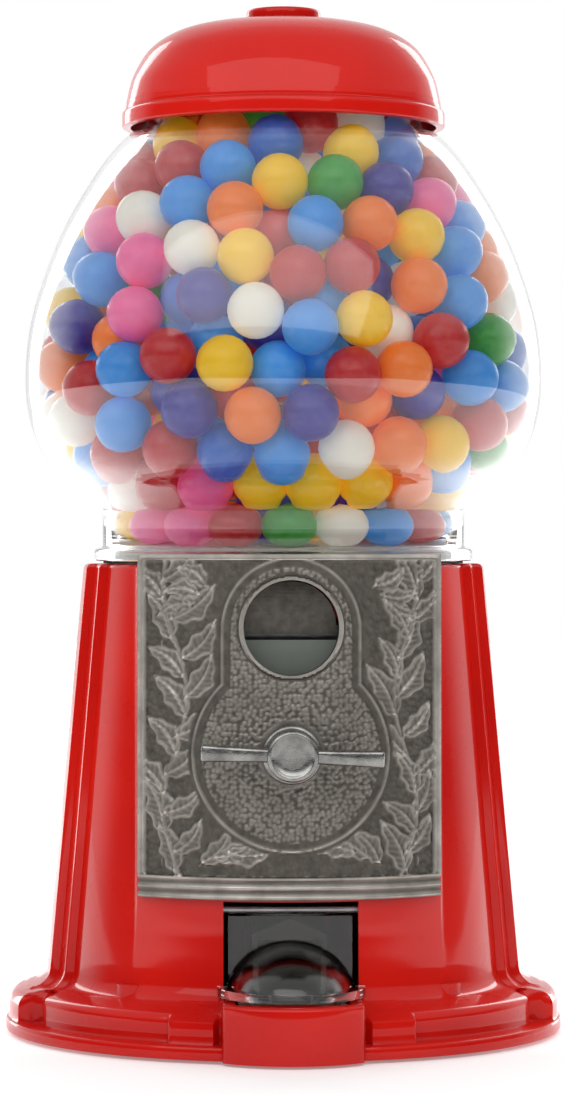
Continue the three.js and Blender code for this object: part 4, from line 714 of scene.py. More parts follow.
@dataclass
class CabinetCasting:
    """The red casting: lip, ring, stepped body, boss, apron, deck and the well for the wheel.

    Radii and heights are in millimetres; angles are in degrees from the middle of the front.
    """

    lip_radius: float = 79.55
    ring: Triple = (73.6, 71.8, 78.6)
    ring_steps: Pair = (68.3, 73.0)
    body_steps: Pair = (71.9, 78.5)
    foot_radius: float = 68.1
    deck_radius: float = 57.4
    panel_depth: Pair = (5.0, 4.2)
    foot_height: float = 16.0
    deck: float = 133.7
    deck_edge: float = 1.6
    boss_radius: float = 61.5
    boss_half: float = 41.9
    apron_half: float = 19.1
    apron_top: float = 16.2
    apron_centre: float = 59.69
    apron_arc: float = 27.5
    well_radius: float = 49.6
    floor: Pair = (118.9, 120.9)
    wall: float = 3.0
    step_width: float = 0.85
    sweep: float = 5.0
    angles: np.ndarray = field(init=False)

    def __post_init__(self) -> None:
        """Lay out the columns, closer together at steps and corners."""
        spans = [(0, 11, 1), (11, 18, 0.25), (18, 25, 1), (25, 28, 0.3), (28, 41.5, 1.25), (41.5, 53, 0.35)]
        spans += [(53, 66, 1.6), (66, 74.5, 0.28), (74.5, 77.2, 0.6), (77.2, 79.8, 0.25), (79.8, 90, 1.7)]
        half = np.concatenate([np.arange(start, end - 0.01, step) for start, end, step in spans])
        back = 180.0 - half[(half > 53)][::-1]
        plain = np.arange(128.0, 180.1, 1.6)
        right = np.concatenate([half, [90.0], back[back < 127.5], plain])
        self.angles = np.concatenate([right, -right[1:][::-1]])

    def stepped(self, sizes: Sequence[np.ndarray | float], steps: Pair) -> np.ndarray:
        """Return the radius at each column for panel, tier and pilaster sizes.

        Args:
            sizes: The radius of the panel, the tier and the pilaster.
            steps: The angles where the tier and the pilaster start.

        Returns:
            The radius at each column.
        """
        panel, tier, pilaster = sizes
        folded = np.minimum(np.abs(self.angles), 180.0 - np.abs(self.angles))
        first = ease((folded - steps[0]) / self.step_width + 0.5)
        second = ease((folded - steps[1]) / self.step_width + 0.5)
        return panel + (tier - panel) * first + (pilaster - tier) * second

    def body(self, height: float) -> np.ndarray:
        """Return the tapered body's radius at each column, boss included.

        Args:
            height: Height above the floor.

        Returns:
            The radius at each column.
        """
        share = (height - self.foot_height) / (self.deck - 1.5 - self.foot_height)
        pilaster = self.foot_radius + (self.deck_radius - self.foot_radius) * share
        depth = self.panel_depth[0] + (self.panel_depth[1] - self.panel_depth[0]) * share
        plain = self.stepped((pilaster - depth, pilaster - depth * 0.5, pilaster), self.body_steps)
        if height < 25.0:
            return plain
        side = self.boss_half / np.maximum(np.abs(np.sin(np.radians(self.angles))), 1e-3)
        facing = np.where(np.abs(self.angles) < 89.0, np.minimum(self.boss_radius, side), 0.0)
        return soft_max(plain, facing, 0.7)

    def apron(self) -> np.ndarray:
        """Return the apron's reach at each column, zero where it has none.

        Returns:
            The reach at each column.
        """
        turn = np.radians(self.angles)
        sine = np.abs(np.sin(turn))
        inside = np.clip(self.apron_arc**2 - (self.apron_centre * sine) ** 2, 0.0, None)
        arc = self.apron_centre * np.cos(turn) + np.sqrt(inside)
        side = self.apron_half / np.maximum(sine, 1e-3)
        nearer = -soft_max(-arc, -side, 1.2)
        return np.where(np.abs(self.angles) < 24.0, nearer, 0.0)

    def blocks(self, height: float) -> np.ndarray:
        """Return how far the two blocks beside the apron stand out of the ring at a height.

        Args:
            height: Height above the floor.

        Returns:
            The distance at each column.
        """
        turn = np.abs(self.angles)
        window = ease((turn - 15.6) / 0.6) * (1.0 - ease((turn - 25.2) / 2.0) ** 2)
        over = np.clip((height - 10.4) / 1.4, 0.0, 1.0)
        return 3.0 * window * math.sqrt(1.0 - over**2)

    def rows(self) -> tuple[np.ndarray, np.ndarray]:
        """Return every row's radius and height at every column, up the outside and down the inside.

        Returns:
            The radii and the heights, one line per row.
        """
        radii: list[np.ndarray] = []
        heights: list[np.ndarray] = []
        flat = np.ones_like(self.angles)

        def row(radius: np.ndarray | float, height: np.ndarray | float) -> None:
            """Add one row."""
            radii.append(radius * flat)
            heights.append(height * flat)

        ring = self.stepped(self.ring, self.ring_steps)
        high = self.stepped((0.0, 0.4, 1.0), self.ring_steps)
        apron = self.apron()
        lip = [(-0.9, 0.8), (-0.3, 1.0), (0.0, 1.6), (0.0, 3.9), (-0.25, 4.4), (-0.8, 4.65)]
        for out, height in lip:
            row(soft_max(self.lip_radius + out * flat, apron, 0.3), height)
        for out, height in ((0.3, 4.8), (0.0, 5.3), (0.0, 7.6)):
            row(soft_max(ring + out + self.blocks(height), apron, 0.3), height)
        edge = 2.6 + 1.7 * high
        top = 12.7 + 0.5 * high
        foot = self.body(self.foot_height)
        plain_rows = []
        apron_rows = []
        for turn in (0, 18, 36, 54, 72, 90):
            a = math.radians(turn)
            radius = ring - edge * (1 - math.cos(a))
            height = top - edge * (1 - math.sin(a))
            plain_rows.append((radius + self.blocks(float(height.mean())), height))
            apron_height = self.apron_top - 1.1 * (1 - math.sin(a))
            apron_rows.append((apron - 1.1 * (1 - math.cos(a)), apron_height * flat))
        for i, turn in enumerate((0, 15, 30, 45, 60, 75, 90)):
            a = math.radians(turn)
            height = 13.9 + self.sweep * (1 - math.cos(a))
            radius = self.body(height) + self.sweep * (1 - math.sin(a))
            plain_rows.append((radius, height * flat))
            share = (i + 1) / 7
            top_z = self.apron_top if i < 6 else height
            apron_rows.append(((apron - 1.1) * (1 - share) + foot * share, top_z * flat))
        for (radius, height), (apron_radius, apron_height) in zip(plain_rows, apron_rows):
            side = np.degrees(np.arcsin(np.clip(self.apron_half / radius, 0, 1)))
            inside = 1.0 - ease((np.abs(self.angles) - side) / 0.7 + 0.5)
            row(radius + (apron_radius - radius) * inside, height + (apron_height - height) * inside)
        for height in np.linspace(23.0, self.deck - self.deck_edge, 26):
            row(self.body(float(height)), float(height))
        rim = self.body(self.deck - self.deck_edge)
        for turn in (20, 40, 60, 80, 90):
            a = math.radians(turn)
            row(rim - self.deck_edge * (1 - math.cos(a)), self.deck - self.deck_edge * (1 - math.sin(a)))
        well = self.well_radius
        low, high_floor = self.floor
        for radius, height in (
            (well + 0.4, self.deck), (well, self.deck - 0.4), (well, high_floor + 0.4),
            (well - 0.4, high_floor), (20.0, high_floor), (7.2, high_floor),
            (6.9, high_floor - 0.3), (6.9, low), (20.0, low),
        ):
            row(radius, height)
        for height in (low, 100.0, 80.0, 60.0, 40.0, 26.0, 18.0):
            row(self.body(height) - self.wall, height)
        for radius, height in ((66.5, 8.6), (66.5, 3.9), (70.3, 3.9), (70.3, 0.8)):
            row(radius, height)
        return np.array(radii), np.array(heights)

    def skin(self) -> Skin:
        """Return the whole casting as one closed skin, before its openings are cut.

        Returns:
            The skin.
        """
        radii, heights = self.rows()
        turn = np.radians(self.angles)
        points = np.stack([radii * np.sin(turn), -radii * np.cos(turn), heights], axis=-1).reshape(-1, 3)
        count, wide = radii.shape
        faces = []
        for i in range(count):
            for j in range(wide):
                k, n = (j + 1) % wide, (i + 1) % count
                faces.append((i * wide + j, i * wide + k, n * wide + k, n * wide + j))
        return Skin(points, faces)

    def openings(self) -> list[tuple[Join, Skin]]:
        """Return the openings cut in the casting and the bosses added inside it.

        Returns:
            Each cutter or boss, with the way it is used.
        """
        work = [
            (Join.CUT, slab((-18.4, 18.4), (-82, -40), (self.apron_top + 0.05, 42.0))),
            (Join.CUT, slab((-15.5, 15.5), (-78.3, -40), (10.3, 17.2))),
            (Join.CUT, slab((-36.0, 36.0), (-66, -41), (46.6, 118.4))),
            (Join.CUT, about_shaft(rod(14.6, -66, -52.1), 116.6)),
            (Join.CUT, moved(rod(9.5, 117, 122), y=38.0)),
        ]
        for side in (-1, 1):
            ear = sorted((side * 18.4, side * 22.3))
            work.append((Join.ADD, slab((ear[0], ear[1]), (-55.6, -50.5), (36.5, 41.9))))
            work.append((Join.ADD, moved(rod(3.8, 113.7, 119.4, 24), x=side * 41.0)))
        for turn in (45, 135, 225, 315):
            a = math.radians(turn)
            work.append((Join.ADD, moved(rod(4.5, 3.9, 18.0, 24), 61 * math.cos(a), 61 * math.sin(a))))
        return work

    def build(self) -> None:
        """Build the casting and dress it."""
        item = loose_object("cabinet_casting", self.skin().placed())
        shaped(item, self.openings())
        finished(item, RED_ENAMEL, "cabinet", ["base_casting"])


# ------------------------------------------------------------------ faceplate


@dataclass(frozen=True)
class Leaf:
    """One leaf of the faceplate's spray.

    Attributes:
        x: Foot of the leaf, to the right of the middle.
        z: Foot of the leaf, above the floor.
        turn: Direction of the tip in degrees, from the right.
        length: From foot to tip.
        width: Half of its widest part.
    """

    x: float
    z: float
    turn: float
    length: float
    width: float


@dataclass
class Faceplate:
    """The curved plate with its border, its keyhole field of pebbling and a generic spray of leaves."""

    inner: float = 61.8
    ground: float = 63.05
    crest: float = 64.1
    half: float = 41.2
    low: float = 42.6
    high: float = 136.6
    shaft_z: float = 82.3
    window_z: float = 116.6
    window: float = 13.0
    disc: float = 25.1
    arch: float = 17.2
    pitch: float = 0.38
    seed: int = 11

    def leaves(self) -> list[Leaf]:
        """Return the leaves of both sides: pairs along a stem, each side with turns of its own.

        Returns:
            The leaves.
        """
        rng = np.random.default_rng(self.seed)
        result = []
        for side in (-1, 1):
            for k in range(8):
                z = self.low + 10 + k * 10.6
                stem = side * (31.5 + 3.2 * math.sin(k * 1.1))
                for out in (-1, 1):
                    lean = 58.0 if out * side > 0 else 132.0
                    turn = lean if side > 0 else 180.0 - lean
                    turn += float(rng.uniform(-18, 18))
                    size = float(rng.uniform(11.5, 16.0))
                    result.append(Leaf(stem, z + 2.5 * out, turn, size, size * 0.21))
            for k in range(3):
                turn = 90 - side * (58 + 26 * k)
                low_turn = 90 + side * (40 + 24 * k)
                result.append(Leaf(side * (24.0 - 3.5 * k), 52.5 + 1.5 * k, low_turn, 11.5, 2.6))
                result.append(Leaf(side * (23.0 + 2.0 * k), 128.0 - 2.5 * k, turn, 9.5, 2.3))
        return result

    def leaf_height(self, leaf: Leaf, x: np.ndarray, z: np.ndarray) -> np.ndarray:
        """Return one leaf's height over the ground: a raised edge, a hollow blade and a midrib.

        Args:
            leaf: The leaf.
            x: Places to the right of the middle.
            z: Heights above the floor.

        Returns:
            The height at each place.
        """
        a = math.radians(leaf.turn)
        along = ((x - leaf.x) * math.cos(a) + (z - leaf.z) * math.sin(a)) / leaf.length
        aside = -(x - leaf.x) * math.sin(a) + (z - leaf.z) * math.cos(a)
        aside = aside + 1.3 * np.sin(np.clip(along, 0, 1) * math.pi)
        share = np.clip(along, 0.0, 1.0)
        wave = 1.0 + 0.16 * np.sin(share * 17.0)
        reach = leaf.width * np.sin(math.pi * share**0.75) * wave
        beyond = np.maximum(np.abs(along - 0.5) - 0.5, 0.0) * leaf.length
        gap = np.hypot(np.maximum(np.abs(aside) - reach, 0.0), beyond)
        inside = np.clip((reach - np.abs(aside)) / 0.5, 0.0, 1.0) * (beyond <= 0)
        edge = np.exp(-((np.abs(np.abs(aside) - reach) / 0.42) ** 2)) * np.exp(-((beyond / 0.4) ** 2))
        rib = np.exp(-((aside / 0.34) ** 2)) * ((along > -0.1) & (along < 0.95))
        veins = 0.12 * (0.5 + 0.5 * np.cos((share * leaf.length - 0.7 * np.abs(aside)) * 3.6)) * inside
        return np.where(gap < 2.0, 0.22 * inside + veins + 0.62 * edge + 0.5 * rib, 0.0)

    def pebbles(self, x: np.ndarray, z: np.ndarray, cell: float) -> np.ndarray:
        """Return a field of small round bumps, one in each cell of a shaken grid.

        Args:
            x: Places to the right of the middle.
            z: Heights above the floor.
            cell: The grid's pitch.

        Returns:
            The height at each place, from 0 to 1.
        """
        rng = np.random.default_rng(self.seed + 1)
        shake = rng.uniform(0.12, 0.88, (256, 256, 2))
        nearest = np.full(x.shape, 9.0)
        column, line = np.floor(x / cell).astype(int), np.floor(z / cell).astype(int)
        for dx in (-1, 0, 1):
            for dz in (-1, 0, 1):
                own = shake[(column + dx) % 256, (line + dz) % 256]
                px = (column + dx + own[..., 0]) * cell
                pz = (line + dz + own[..., 1]) * cell
                nearest = np.minimum(nearest, np.hypot(x - px, z - pz))
        return np.clip(1.0 - (nearest / (0.62 * cell)) ** 2, 0.0, 1.0)

    def keyhole(self, x: np.ndarray, z: np.ndarray) -> np.ndarray:
        """Return the signed distance to the keyhole field's outline, negative inside.

        Args:
            x: Places to the right of the middle.
            z: Heights above the floor.

        Returns:
            The distance at each place.
        """
        round_part = np.hypot(x, z - self.shaft_z) - self.disc
        arch_part = np.hypot(x, z - self.window_z) - self.arch
        middle = (self.shaft_z + self.window_z) / 2
        tall = (self.window_z - self.shaft_z) / 2
        neck = np.maximum(np.abs(x) - self.arch, np.abs(z - middle) - tall)
        return np.minimum(np.minimum(round_part, arch_part), neck)

    def relief(self, x: np.ndarray, z: np.ndarray) -> np.ndarray:
        """Return the height of the front over its ground, in millimetres.

        Args:
            x: Places to the right of the middle.
            z: Heights above the floor.

        Returns:
            The height at each place.
        """
        outline = self.keyhole(x, z)
        spray = np.zeros_like(x)
        for leaf in self.leaves():
            spray = np.maximum(spray, self.leaf_height(leaf, x, z))
        for side in (-1, 1):
            stem = side * (31.5 + 3.2 * np.sin((z - self.low - 10) / 10.6 * 1.1))
            spray = np.maximum(spray, 0.6 * np.exp(-(((x - stem) / 0.6) ** 2)))
        rough = 0.16 * self.pebbles(x * 1.3 + z * 0.4, z, 1.7)
        height = np.maximum(spray, rough) * ease((outline - 2.4) / 0.8)
        height += (0.08 + 0.42 * self.pebbles(x, z, 1.3)) * ease(-outline / 0.5 - 0.8)
        height += 0.62 * np.exp(-(((outline - 1.5) / 0.5) ** 2))
        height -= 0.22 * np.exp(-((outline / 0.5) ** 2))
        rim = np.hypot(x, z - self.window_z)
        height = np.where(rim < self.window + 1.0, 0.85, height)
        height = np.where((rim > self.window + 1.0) & (rim < self.window + 1.8), 0.05, height)
        hub = np.hypot(x, z - self.shaft_z)
        height = np.where(hub < 9.2, 0.35, height)
        edge = np.minimum(np.minimum(self.half - np.abs(x), self.high - z), z - self.low)
        border = ease((2.1 - edge) / 0.6)
        height = height * (1 - border) + (0.9 - 0.25 * np.exp(-(((edge - 1.1) / 0.35) ** 2))) * border
        band = ease((self.low + 6.6 - z) / 0.5)
        ribs = 0.55 + 0.35 * np.sin((z - self.low) * 2 * math.pi / 2.6)
        height = height * (1 - band) + ribs * band
        return np.clip(height, 0.0, self.crest - self.ground - 0.02)

    def skin(self) -> Skin:
        """Return the plate as a closed skin, before its holes are cut.

        Returns:
            The skin.
        """
        edge_turn = math.asin(self.half / self.ground)
        wide = int(2 * edge_turn * self.ground / self.pitch)
        tall = int((self.high - self.low) / self.pitch)
        turn = np.linspace(-edge_turn, edge_turn, wide)
        z = np.linspace(self.low, self.high, tall)
        turns, heights = np.meshgrid(turn, z)
        radius = self.ground + self.relief(self.ground * np.sin(turns), heights)
        front = np.stack([radius * np.sin(turns), -radius * np.cos(turns), heights], axis=-1).reshape(-1, 3)
        back = []
        for level in (self.low, self.high):
            back += [(self.inner * math.sin(t), -self.inner * math.cos(t), level) for t in turn]
        size = wide * tall
        faces: list[tuple[int, ...]] = []
        for i in range(tall - 1):
            for j in range(wide - 1):
                a = i * wide + j
                faces.append((a, a + 1, a + wide + 1, a + wide))
        top = (tall - 1) * wide
        for j in range(wide - 1):
            low_a, high_a = size + j, size + wide + j
            faces.append((low_a + 1, low_a, high_a, high_a + 1))
            faces.append((j + 1, j, low_a, low_a + 1))
            faces.append((top + j, top + j + 1, high_a + 1, high_a))
        left = [i * wide for i in range(tall)]
        right = [i * wide + wide - 1 for i in range(tall)]
        faces.append((*left, size + wide, size))
        faces.append((*reversed(right), size + wide - 1, size + 2 * wide - 1))
        return Skin(np.vstack([front, np.array(back)]), faces)

    def build(self) -> None:
        """Build the plate with its window tunnel, shaft hole and posts, and dress it."""
        item = loose_object("faceplate_relief", self.skin().placed())
        work = [(Join.ADD, about_shaft(rod(self.window + 1.3, -62.4, -57.3, 64), self.window_z))]
        for x in (-33.0, 33.0):
            for z in (self.shaft_z - 29.7, self.shaft_z + 29.7):
                work.append((Join.ADD, moved(about_shaft(rod(2.4, -52.8, -44.3, 20), z), x=x)))
        work.append((Join.CUT, about_shaft(rod(self.window, -70, -40, 96), self.window_z)))
        work.append((Join.CUT, about_shaft(rod(5.3, -70, -50, 48), self.shaft_z)))
        shaped(item, work)
        finished(item, PEWTER, "cabinet", ["faceplate"], 50.0)


# ------------------------------------------------------------------ handle


@dataclass
class HandleSet:
    """The handle with its blade and hub, and the collar behind it."""

    shaft_z: float = 82.3
    length: float = 49.4
    height: float = 4.6
    depth: float = 5.0
    hub: float = 7.0
    front: float = -75.0
    tilt: float = 2.1

    def blade(self) -> bpy.types.Object:
        """Return the waisted blade with rounded edges.

        Returns:
            The blade, as an object.
        """
        half, tall = self.length / 2, self.height / 2
        steps = np.linspace(-1, 1, 17)
        lower = [(half * s, -(tall - 0.5 * (1 - s * s))) for s in steps]
        outline = lower + [(x, -y) for x, y in reversed(lower)]
        plate = raised(outline, 0.0, self.depth)
        x, y, z = plate.points.T
        points = np.column_stack([x, self.front + 0.8 + self.depth - z, self.shaft_z + y])
        item = loose_object("handle", Skin(points, plate.faces).placed())
        bevel = item.modifiers.new("edge", "BEVEL")
        bevel.width, bevel.segments = 0.0008, 3
        bevel.limit_method = "ANGLE"
        bevel.angle_limit = math.radians(40)
        return settled(item)

    def hub_profile(self) -> Profile:
        """Return the hub's outline along the shaft, its dished front with a raised ring.

        Returns:
            Pairs of radius and place along the shaft.
        """
        front, radius = self.front, self.hub
        dish = [(0.0, 0.75), (3.4, 0.7), (4.9, 0.62), (5.4, 0.3), (5.7, 0.06), (6.0, 0.0)]
        side = [(6.3, 0.05), (6.75, 0.35), (radius, 0.8), (radius, 7.2), (radius - 0.4, 7.6), (0.0, 7.6)]
        return [(reach, front + depth) for reach, depth in dish + side]

    def build(self) -> None:
        """Build the handle and the collar, and dress them."""
        low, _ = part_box("handle")
        self.front = low.y * 1000.0 - rod_axis_y()
        item = self.blade()
        core = about_shaft(turned(self.hub_profile(), 72), self.shaft_z)
        socket = about_shaft(rod(3.3, self.front + 1.4, self.front + 9, 32), self.shaft_z)
        shaped(item, [(Join.ADD, core), (Join.CUT, socket)])
        centre = Vector((0.0, 0.0, self.shaft_z / 1000.0))
        a = math.radians(self.tilt)
        for vertex in item.data.vertices:
            x, z = vertex.co.x, vertex.co.z - centre.z
            vertex.co.x = x * math.cos(a) + z * math.sin(a)
            vertex.co.z = centre.z - x * math.sin(a) + z * math.cos(a)
        finished(item, BRIGHT_METAL, "crank", ["handle"], 38.0)
        near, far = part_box("shaft_collar")
        start, end = near.y * 1000.0 - rod_axis_y(), far.y * 1000.0 - rod_axis_y()
        seat = start + 2.5
        outline = [(3.3, start), (6.9, start), *rounded((8.1, start), 180, 90, 1.0), (8.1, seat)]
        outline += [(5.0, seat), (5.0, end), (3.3, end)]
        collar = loose_object("shaft_collar_ring", about_shaft(turned(outline, 72), self.shaft_z).placed())
        finished(collar, BRIGHT_METAL, "cabinet", ["shaft_collar"])


# ------------------------------------------------------------------ globe and lid


@dataclass
class GlassGlobe:
    """The pressed glass globe: foot, neck, bulge and mouth."""

    wall: float = 2.5
    foot: float = 54.2
    neck: float = 51.9
    bottom: float = 134.5
    foot_top: float = 138.0
    neck_top: float = 148.4
    mouth: float = 36.7
    top: float = 263.4

    def bulge(self) -> Profile:
        """Return the outer outline from the neck's top to below the mouth.

        Returns:
            Pairs of radius and height.
        """
        knots = [(self.neck, self.neck_top), (57.1, 154.1), (65.0, 159.9), (69.1, 165.6), (72.6, 174.3)]
        knots += [(74.0, 185.6), (72.9, 200.1), (69.4, 213.5), (64.2, 227.0), (57.2, 240.0), (48.4, 252.4)]
        knots += [(38.4, 261.4)]
        return spline(knots, 5)

    def inner(self) -> Profile:
        """Return the inner outline, from the foot up to the mouth.

        Returns:
            Pairs of radius and height.
        """
        inside = inset(self.bulge(), self.wall)
        bore = self.neck - self.wall
        foot = [(bore, self.bottom), (bore, self.neck_top - 1.0)]
        return [*foot, *inside[1:-1], (self.mouth - self.wall, self.top - 1.5)]

    def build(self) -> None:
        """Build the globe and dress it."""
        inside = self.inner()
        outline = [(inside[0][0], self.bottom), *rounded((self.foot, self.bottom), 180, 90, 0.6)]
        outline += rounded((self.foot, self.foot_top), 270, 180, 0.9)
        outline += [(self.neck + 0.5, self.foot_top + 0.15), (self.neck, self.foot_top + 0.9), *self.bulge()]
        outline += [(self.mouth + 0.1, self.top - 1.0), *rounded((self.mouth, self.top), 270, 180, 0.8)]
        outline += [*rounded((self.mouth - self.wall, self.top), 0, 270, 0.8), *reversed(inside[1:])]
        item = loose_object("glass_globe", turned(outline, 160).placed())
        finished(item, GLASS, "cabinet", ["globe"], 60.0)


@dataclass
class LidSet:
    """The dished lid and the flat knob on top of it."""

    radius: float = 46.3
    low: float = 258.6
    top: float = 289.2
    wall: float = 2.2
    bore: float = 2.9
    spigot: float = 33.2
    seat: float = 265.0
    knob: float = 10.6

    def dome(self) -> Profile:
        """Return the lid's outer outline above its rim.

        Returns:
            Pairs of radius and height.
        """
        knots = [(45.1, 265.7), (44.5, 268.6), (43.4, 272.6), (41.1, 277.2), (38.4, 280.9), (34.2, 284.1)]
        knots += [(28.9, 286.5), (22.0, 288.1), (15.5, 288.9)]
        knots += [(8.0, self.top - 0.05), (self.bore + 0.3, self.top)]
        return spline(knots, 4)

    def build(self) -> None:
        """Build the lid and its knob, and dress them."""
        radius, low = self.radius, self.low
        skirt = radius - self.wall - 0.2
        vault = inset(self.dome(), self.wall)[4:-3]
        spigot, seat = self.spigot, self.seat
        outline = [(skirt, low), *rounded((radius, low), 180, 90, 0.6)]
        outline += rounded((radius, low + 4.8), 270, 180, 1.1)
        outline += [(45.35, low + 5.3), (45.15, low + 6.2), *self.dome()]
        outline += [(self.bore, self.top - 0.3), (self.bore, self.top - self.wall), *reversed(vault)]
        outline += [(41.0, seat + 1.8), (spigot - 1.7, seat + 1.8), (spigot - 1.7, low + 0.2)]
        outline += [(spigot, low + 0.2), (spigot, seat), (skirt - 0.7, seat), (skirt, low + 3.2)]
        item = loose_object("domed_lid", turned(outline, 160).placed())
        finished(item, RED_ENAMEL, "lid", ["lid"])
        bottom, high = self.top + 0.3, self.top + 3.3
        shape = [(0.0, high - 1.2), (self.bore, high - 1.2), (self.bore, bottom), (self.knob - 0.4, bottom)]
        shape += rounded((self.knob, bottom), 180, 90, 0.5)
        shape += [*rounded((self.knob, high), 270, 180, 0.9), (0.0, high)]
        knob = loose_object("lid_knob_disc", turned(shape, 96).placed())
        finished(knob, RED_ENAMEL, "knob", ["lid_knob"])


# ------------------------------------------------------------------ flap


@dataclass
class ChuteFlap:
    """The smoked clear flap, its sheet darkened with painted shade: a hanging sheet, a barrel on the pin, and
    a domed scoop with a rim.
    """

    sheet: Pair = (-53.885, -52.085)
    half: float = 17.0
    low: float = 17.0
    pin_z: float = 39.5
    scoop: Triple = (17.4, 30.3, 13.6)
    wall: float = 1.4
    rim: Triple = (20.2, 24.0, 2.3)
    rim_back: float = -60.685
    doorway: Pair = (14.6, 12.2)

    def half_dome(self, shrink: float, plane: float) -> Skin:
        """Return the scoop's dome, or its inside where it is shrunk by the wall.

        Args:
            shrink: Distance to take off each of its sizes.
            plane: Place of its open side along Y.

        Returns:
            A closed skin.
        """
        wide, deep, tall = (size - shrink for size in self.scoop)
        steps, count = 28, 49
        rows = range(0, steps * count, count)
        points: list[Triple] = []
        faces: list[tuple[int, ...]] = []
        for k in range(steps):
            forward = math.sin(math.pi / 2 * k / steps)
            share = math.sqrt(1 - forward**2)
            for i in range(count):
                turn = math.pi * i / (count - 1)
                x, z = wide * share * math.cos(turn), tall * share * math.sin(turn)
                points.append((x, plane - deep * forward, self.low + z))
        tip = len(points)
        points.append((0.0, plane - deep, self.low))
        for near, far in zip(rows, rows[1:]):
            faces += [(near + j, near + j + 1, far + j + 1, far + j) for j in range(count - 1)]
        faces += [(rows[-1] + j, rows[-1] + j + 1, tip) for j in range(count - 1)]
        faces.append(tuple(reversed(range(count))))
        faces.append((*rows, tip, *(row + count - 1 for row in reversed(rows))))
        return Skin(np.array(points), faces)

    def rim_plan(self) -> list[Pair]:
        """Return the plan of the flange round the scoop's foot, anticlockwise from above.

        Returns:
            The corners, in order.
        """
        wide, deep, _ = self.rim
        arc = [math.pi + math.pi * i / 40 for i in range(41)]
        plan = [(wide * math.cos(a), self.rim_back + deep * math.sin(a)) for a in arc]
        side, front = self.scoop[0], self.sheet[0]
        return plan + [(side, self.rim_back), (side, front), (-side, front), (-side, self.rim_back)]

    def build(self) -> None:
        """Build the flap and dress it."""
        front, back = self.sheet
        middle = (front + back) / 2
        sheet = slab((-self.half, self.half), (front, back), (self.low, self.pin_z))
        item = loose_object("clear_flap", sheet.placed())
        wide, tall = self.doorway
        turns = [2 * math.pi * i / 64 for i in range(64)]
        door = raised([(math.cos(a) * wide, math.sin(a) * tall) for a in turns], front - 1.0, back + 1.0)
        x, y, z = door.points.T
        doorway = Skin(np.column_stack([x, z, self.low - y]), door.faces)
        barrel = across(rod(2.1, -self.half, self.half, 40), middle, self.pin_z)
        bore = across(rod(1.5, -self.half - 1, self.half + 1, 32), middle, self.pin_z)
        hollow = self.half_dome(self.wall, front + 0.01)
        shaped(item, [
            (Join.ADD, barrel),
            (Join.ADD, self.half_dome(0.0, front + 0.01)),
            (Join.ADD, raised(self.rim_plan(), self.low, self.low + self.rim[2])),
            (Join.CUT, hollow),
            (Join.CUT, moved(hollow, z=-0.5)),
            (Join.CUT, doorway),
            (Join.CUT, bore),
        ])
        finished(item, SMOKED_AND_PAINTED_SHADE, "flap", ["flap"], 30.0)


# ------------------------------------------------------------------ what repeats


class PointTree:
    """A geometry node tree that stands something on every point and dresses it."""

    def __init__(self, name: str, **inputs: str) -> None:
        """Start a tree that takes points and gives pieces.

        Args:
            name: The tree's name.
            inputs: The socket kind of each input beside the points.
        """
        self.tree = bpy.data.node_groups.new(name, "GeometryNodeTree")
        for title, kind in {"Points": "Geometry", **inputs}.items():
            self.tree.interface.new_socket(title, in_out="INPUT", socket_type=f"NodeSocket{kind}")
        self.tree.interface.new_socket("Pieces", in_out="OUTPUT", socket_type="NodeSocketGeometry")
        self.start, self.end = self.add("NodeGroupInput"), self.add("NodeGroupOutput")

    def add(self, kind: str) -> bpy.types.Node:
        """Return a new node."""
        return self.tree.nodes.new(kind)

    def read(self, name: str, kind: str) -> Socket:
        """Return a point attribute's value.

        Args:
            name: The attribute's name.
            kind: Its data type.

        Returns:
            The value.
        """
        node = self.add("GeometryNodeInputNamedAttribute")
        node.data_type = kind
        node.inputs["Name"].default_value = name
        return node.outputs["Attribute"]

    def spread(self, piece: Socket, turn: Socket) -> bpy.types.Node:
        """Return a node that puts a piece on every point, turned as asked.

        Args:
            piece: What stands on each point.
            turn: Its rotation.

        Returns:
            The node, whose selection is still open.
        """
        node = self.add("GeometryNodeInstanceOnPoints")
        self.tree.links.new(self.start.outputs["Points"], node.inputs["Points"])
        self.tree.links.new(piece, node.inputs["Instance"])
        self.tree.links.new(turn, node.inputs["Rotation"])
        return node

    def close(self, pieces: Socket, material: str) -> None:
        """Make the pieces real, dress them with the material input and hand them out.

        Args:
            pieces: The pieces.
            material: Name of the material's input.
        """
        real, coat = self.add("GeometryNodeRealizeInstances"), self.add("GeometryNodeSetMaterial")
        self.tree.links.new(pieces, real.inputs["Geometry"])
        self.tree.links.new(real.outputs["Geometry"], coat.inputs["Geometry"])
        self.tree.links.new(self.start.outputs[material], coat.inputs["Material"])
        self.tree.links.new(coat.outputs["Geometry"], self.end.inputs["Pieces"])

    def grow(self, item: bpy.types.Object, **values: object) -> None:
        """Run the tree on an object's points with values for its inputs, and keep the plain mesh.

        Args:
            item: The object that has the points.
            values: A value for each input beside the points.
        """
        modifier = item.modifiers.new("pieces", "NODES")
        modifier.node_group = self.tree
        for socket in self.tree.interface.items_tree:
            if socket.in_out == "INPUT" and socket.name in values:
                modifier[socket.identifier] = values[socket.name]
        settled(item)


# ------------------------------------------------------------------ gumballs


class BallColour(Enum):
    """The shells' colours, with how many balls in a hundred have each."""

    RED = ((0.50, 0.012, 0.016), 21)
    ORANGE = ((0.90, 0.20, 0.025), 12)
    YELLOW = ((0.94, 0.56, 0.010), 12)
    WHITE = ((0.84, 0.80, 0.71), 14)
    SKY = ((0.045, 0.28, 0.76), 16)
    BLUE = ((0.008, 0.11, 0.50), 6)
    VIOLET = ((0.030, 0.020, 0.28), 9)
    PINK = ((0.88, 0.12, 0.34), 6)
    GREEN = ((0.040, 0.32, 0.040), 4)


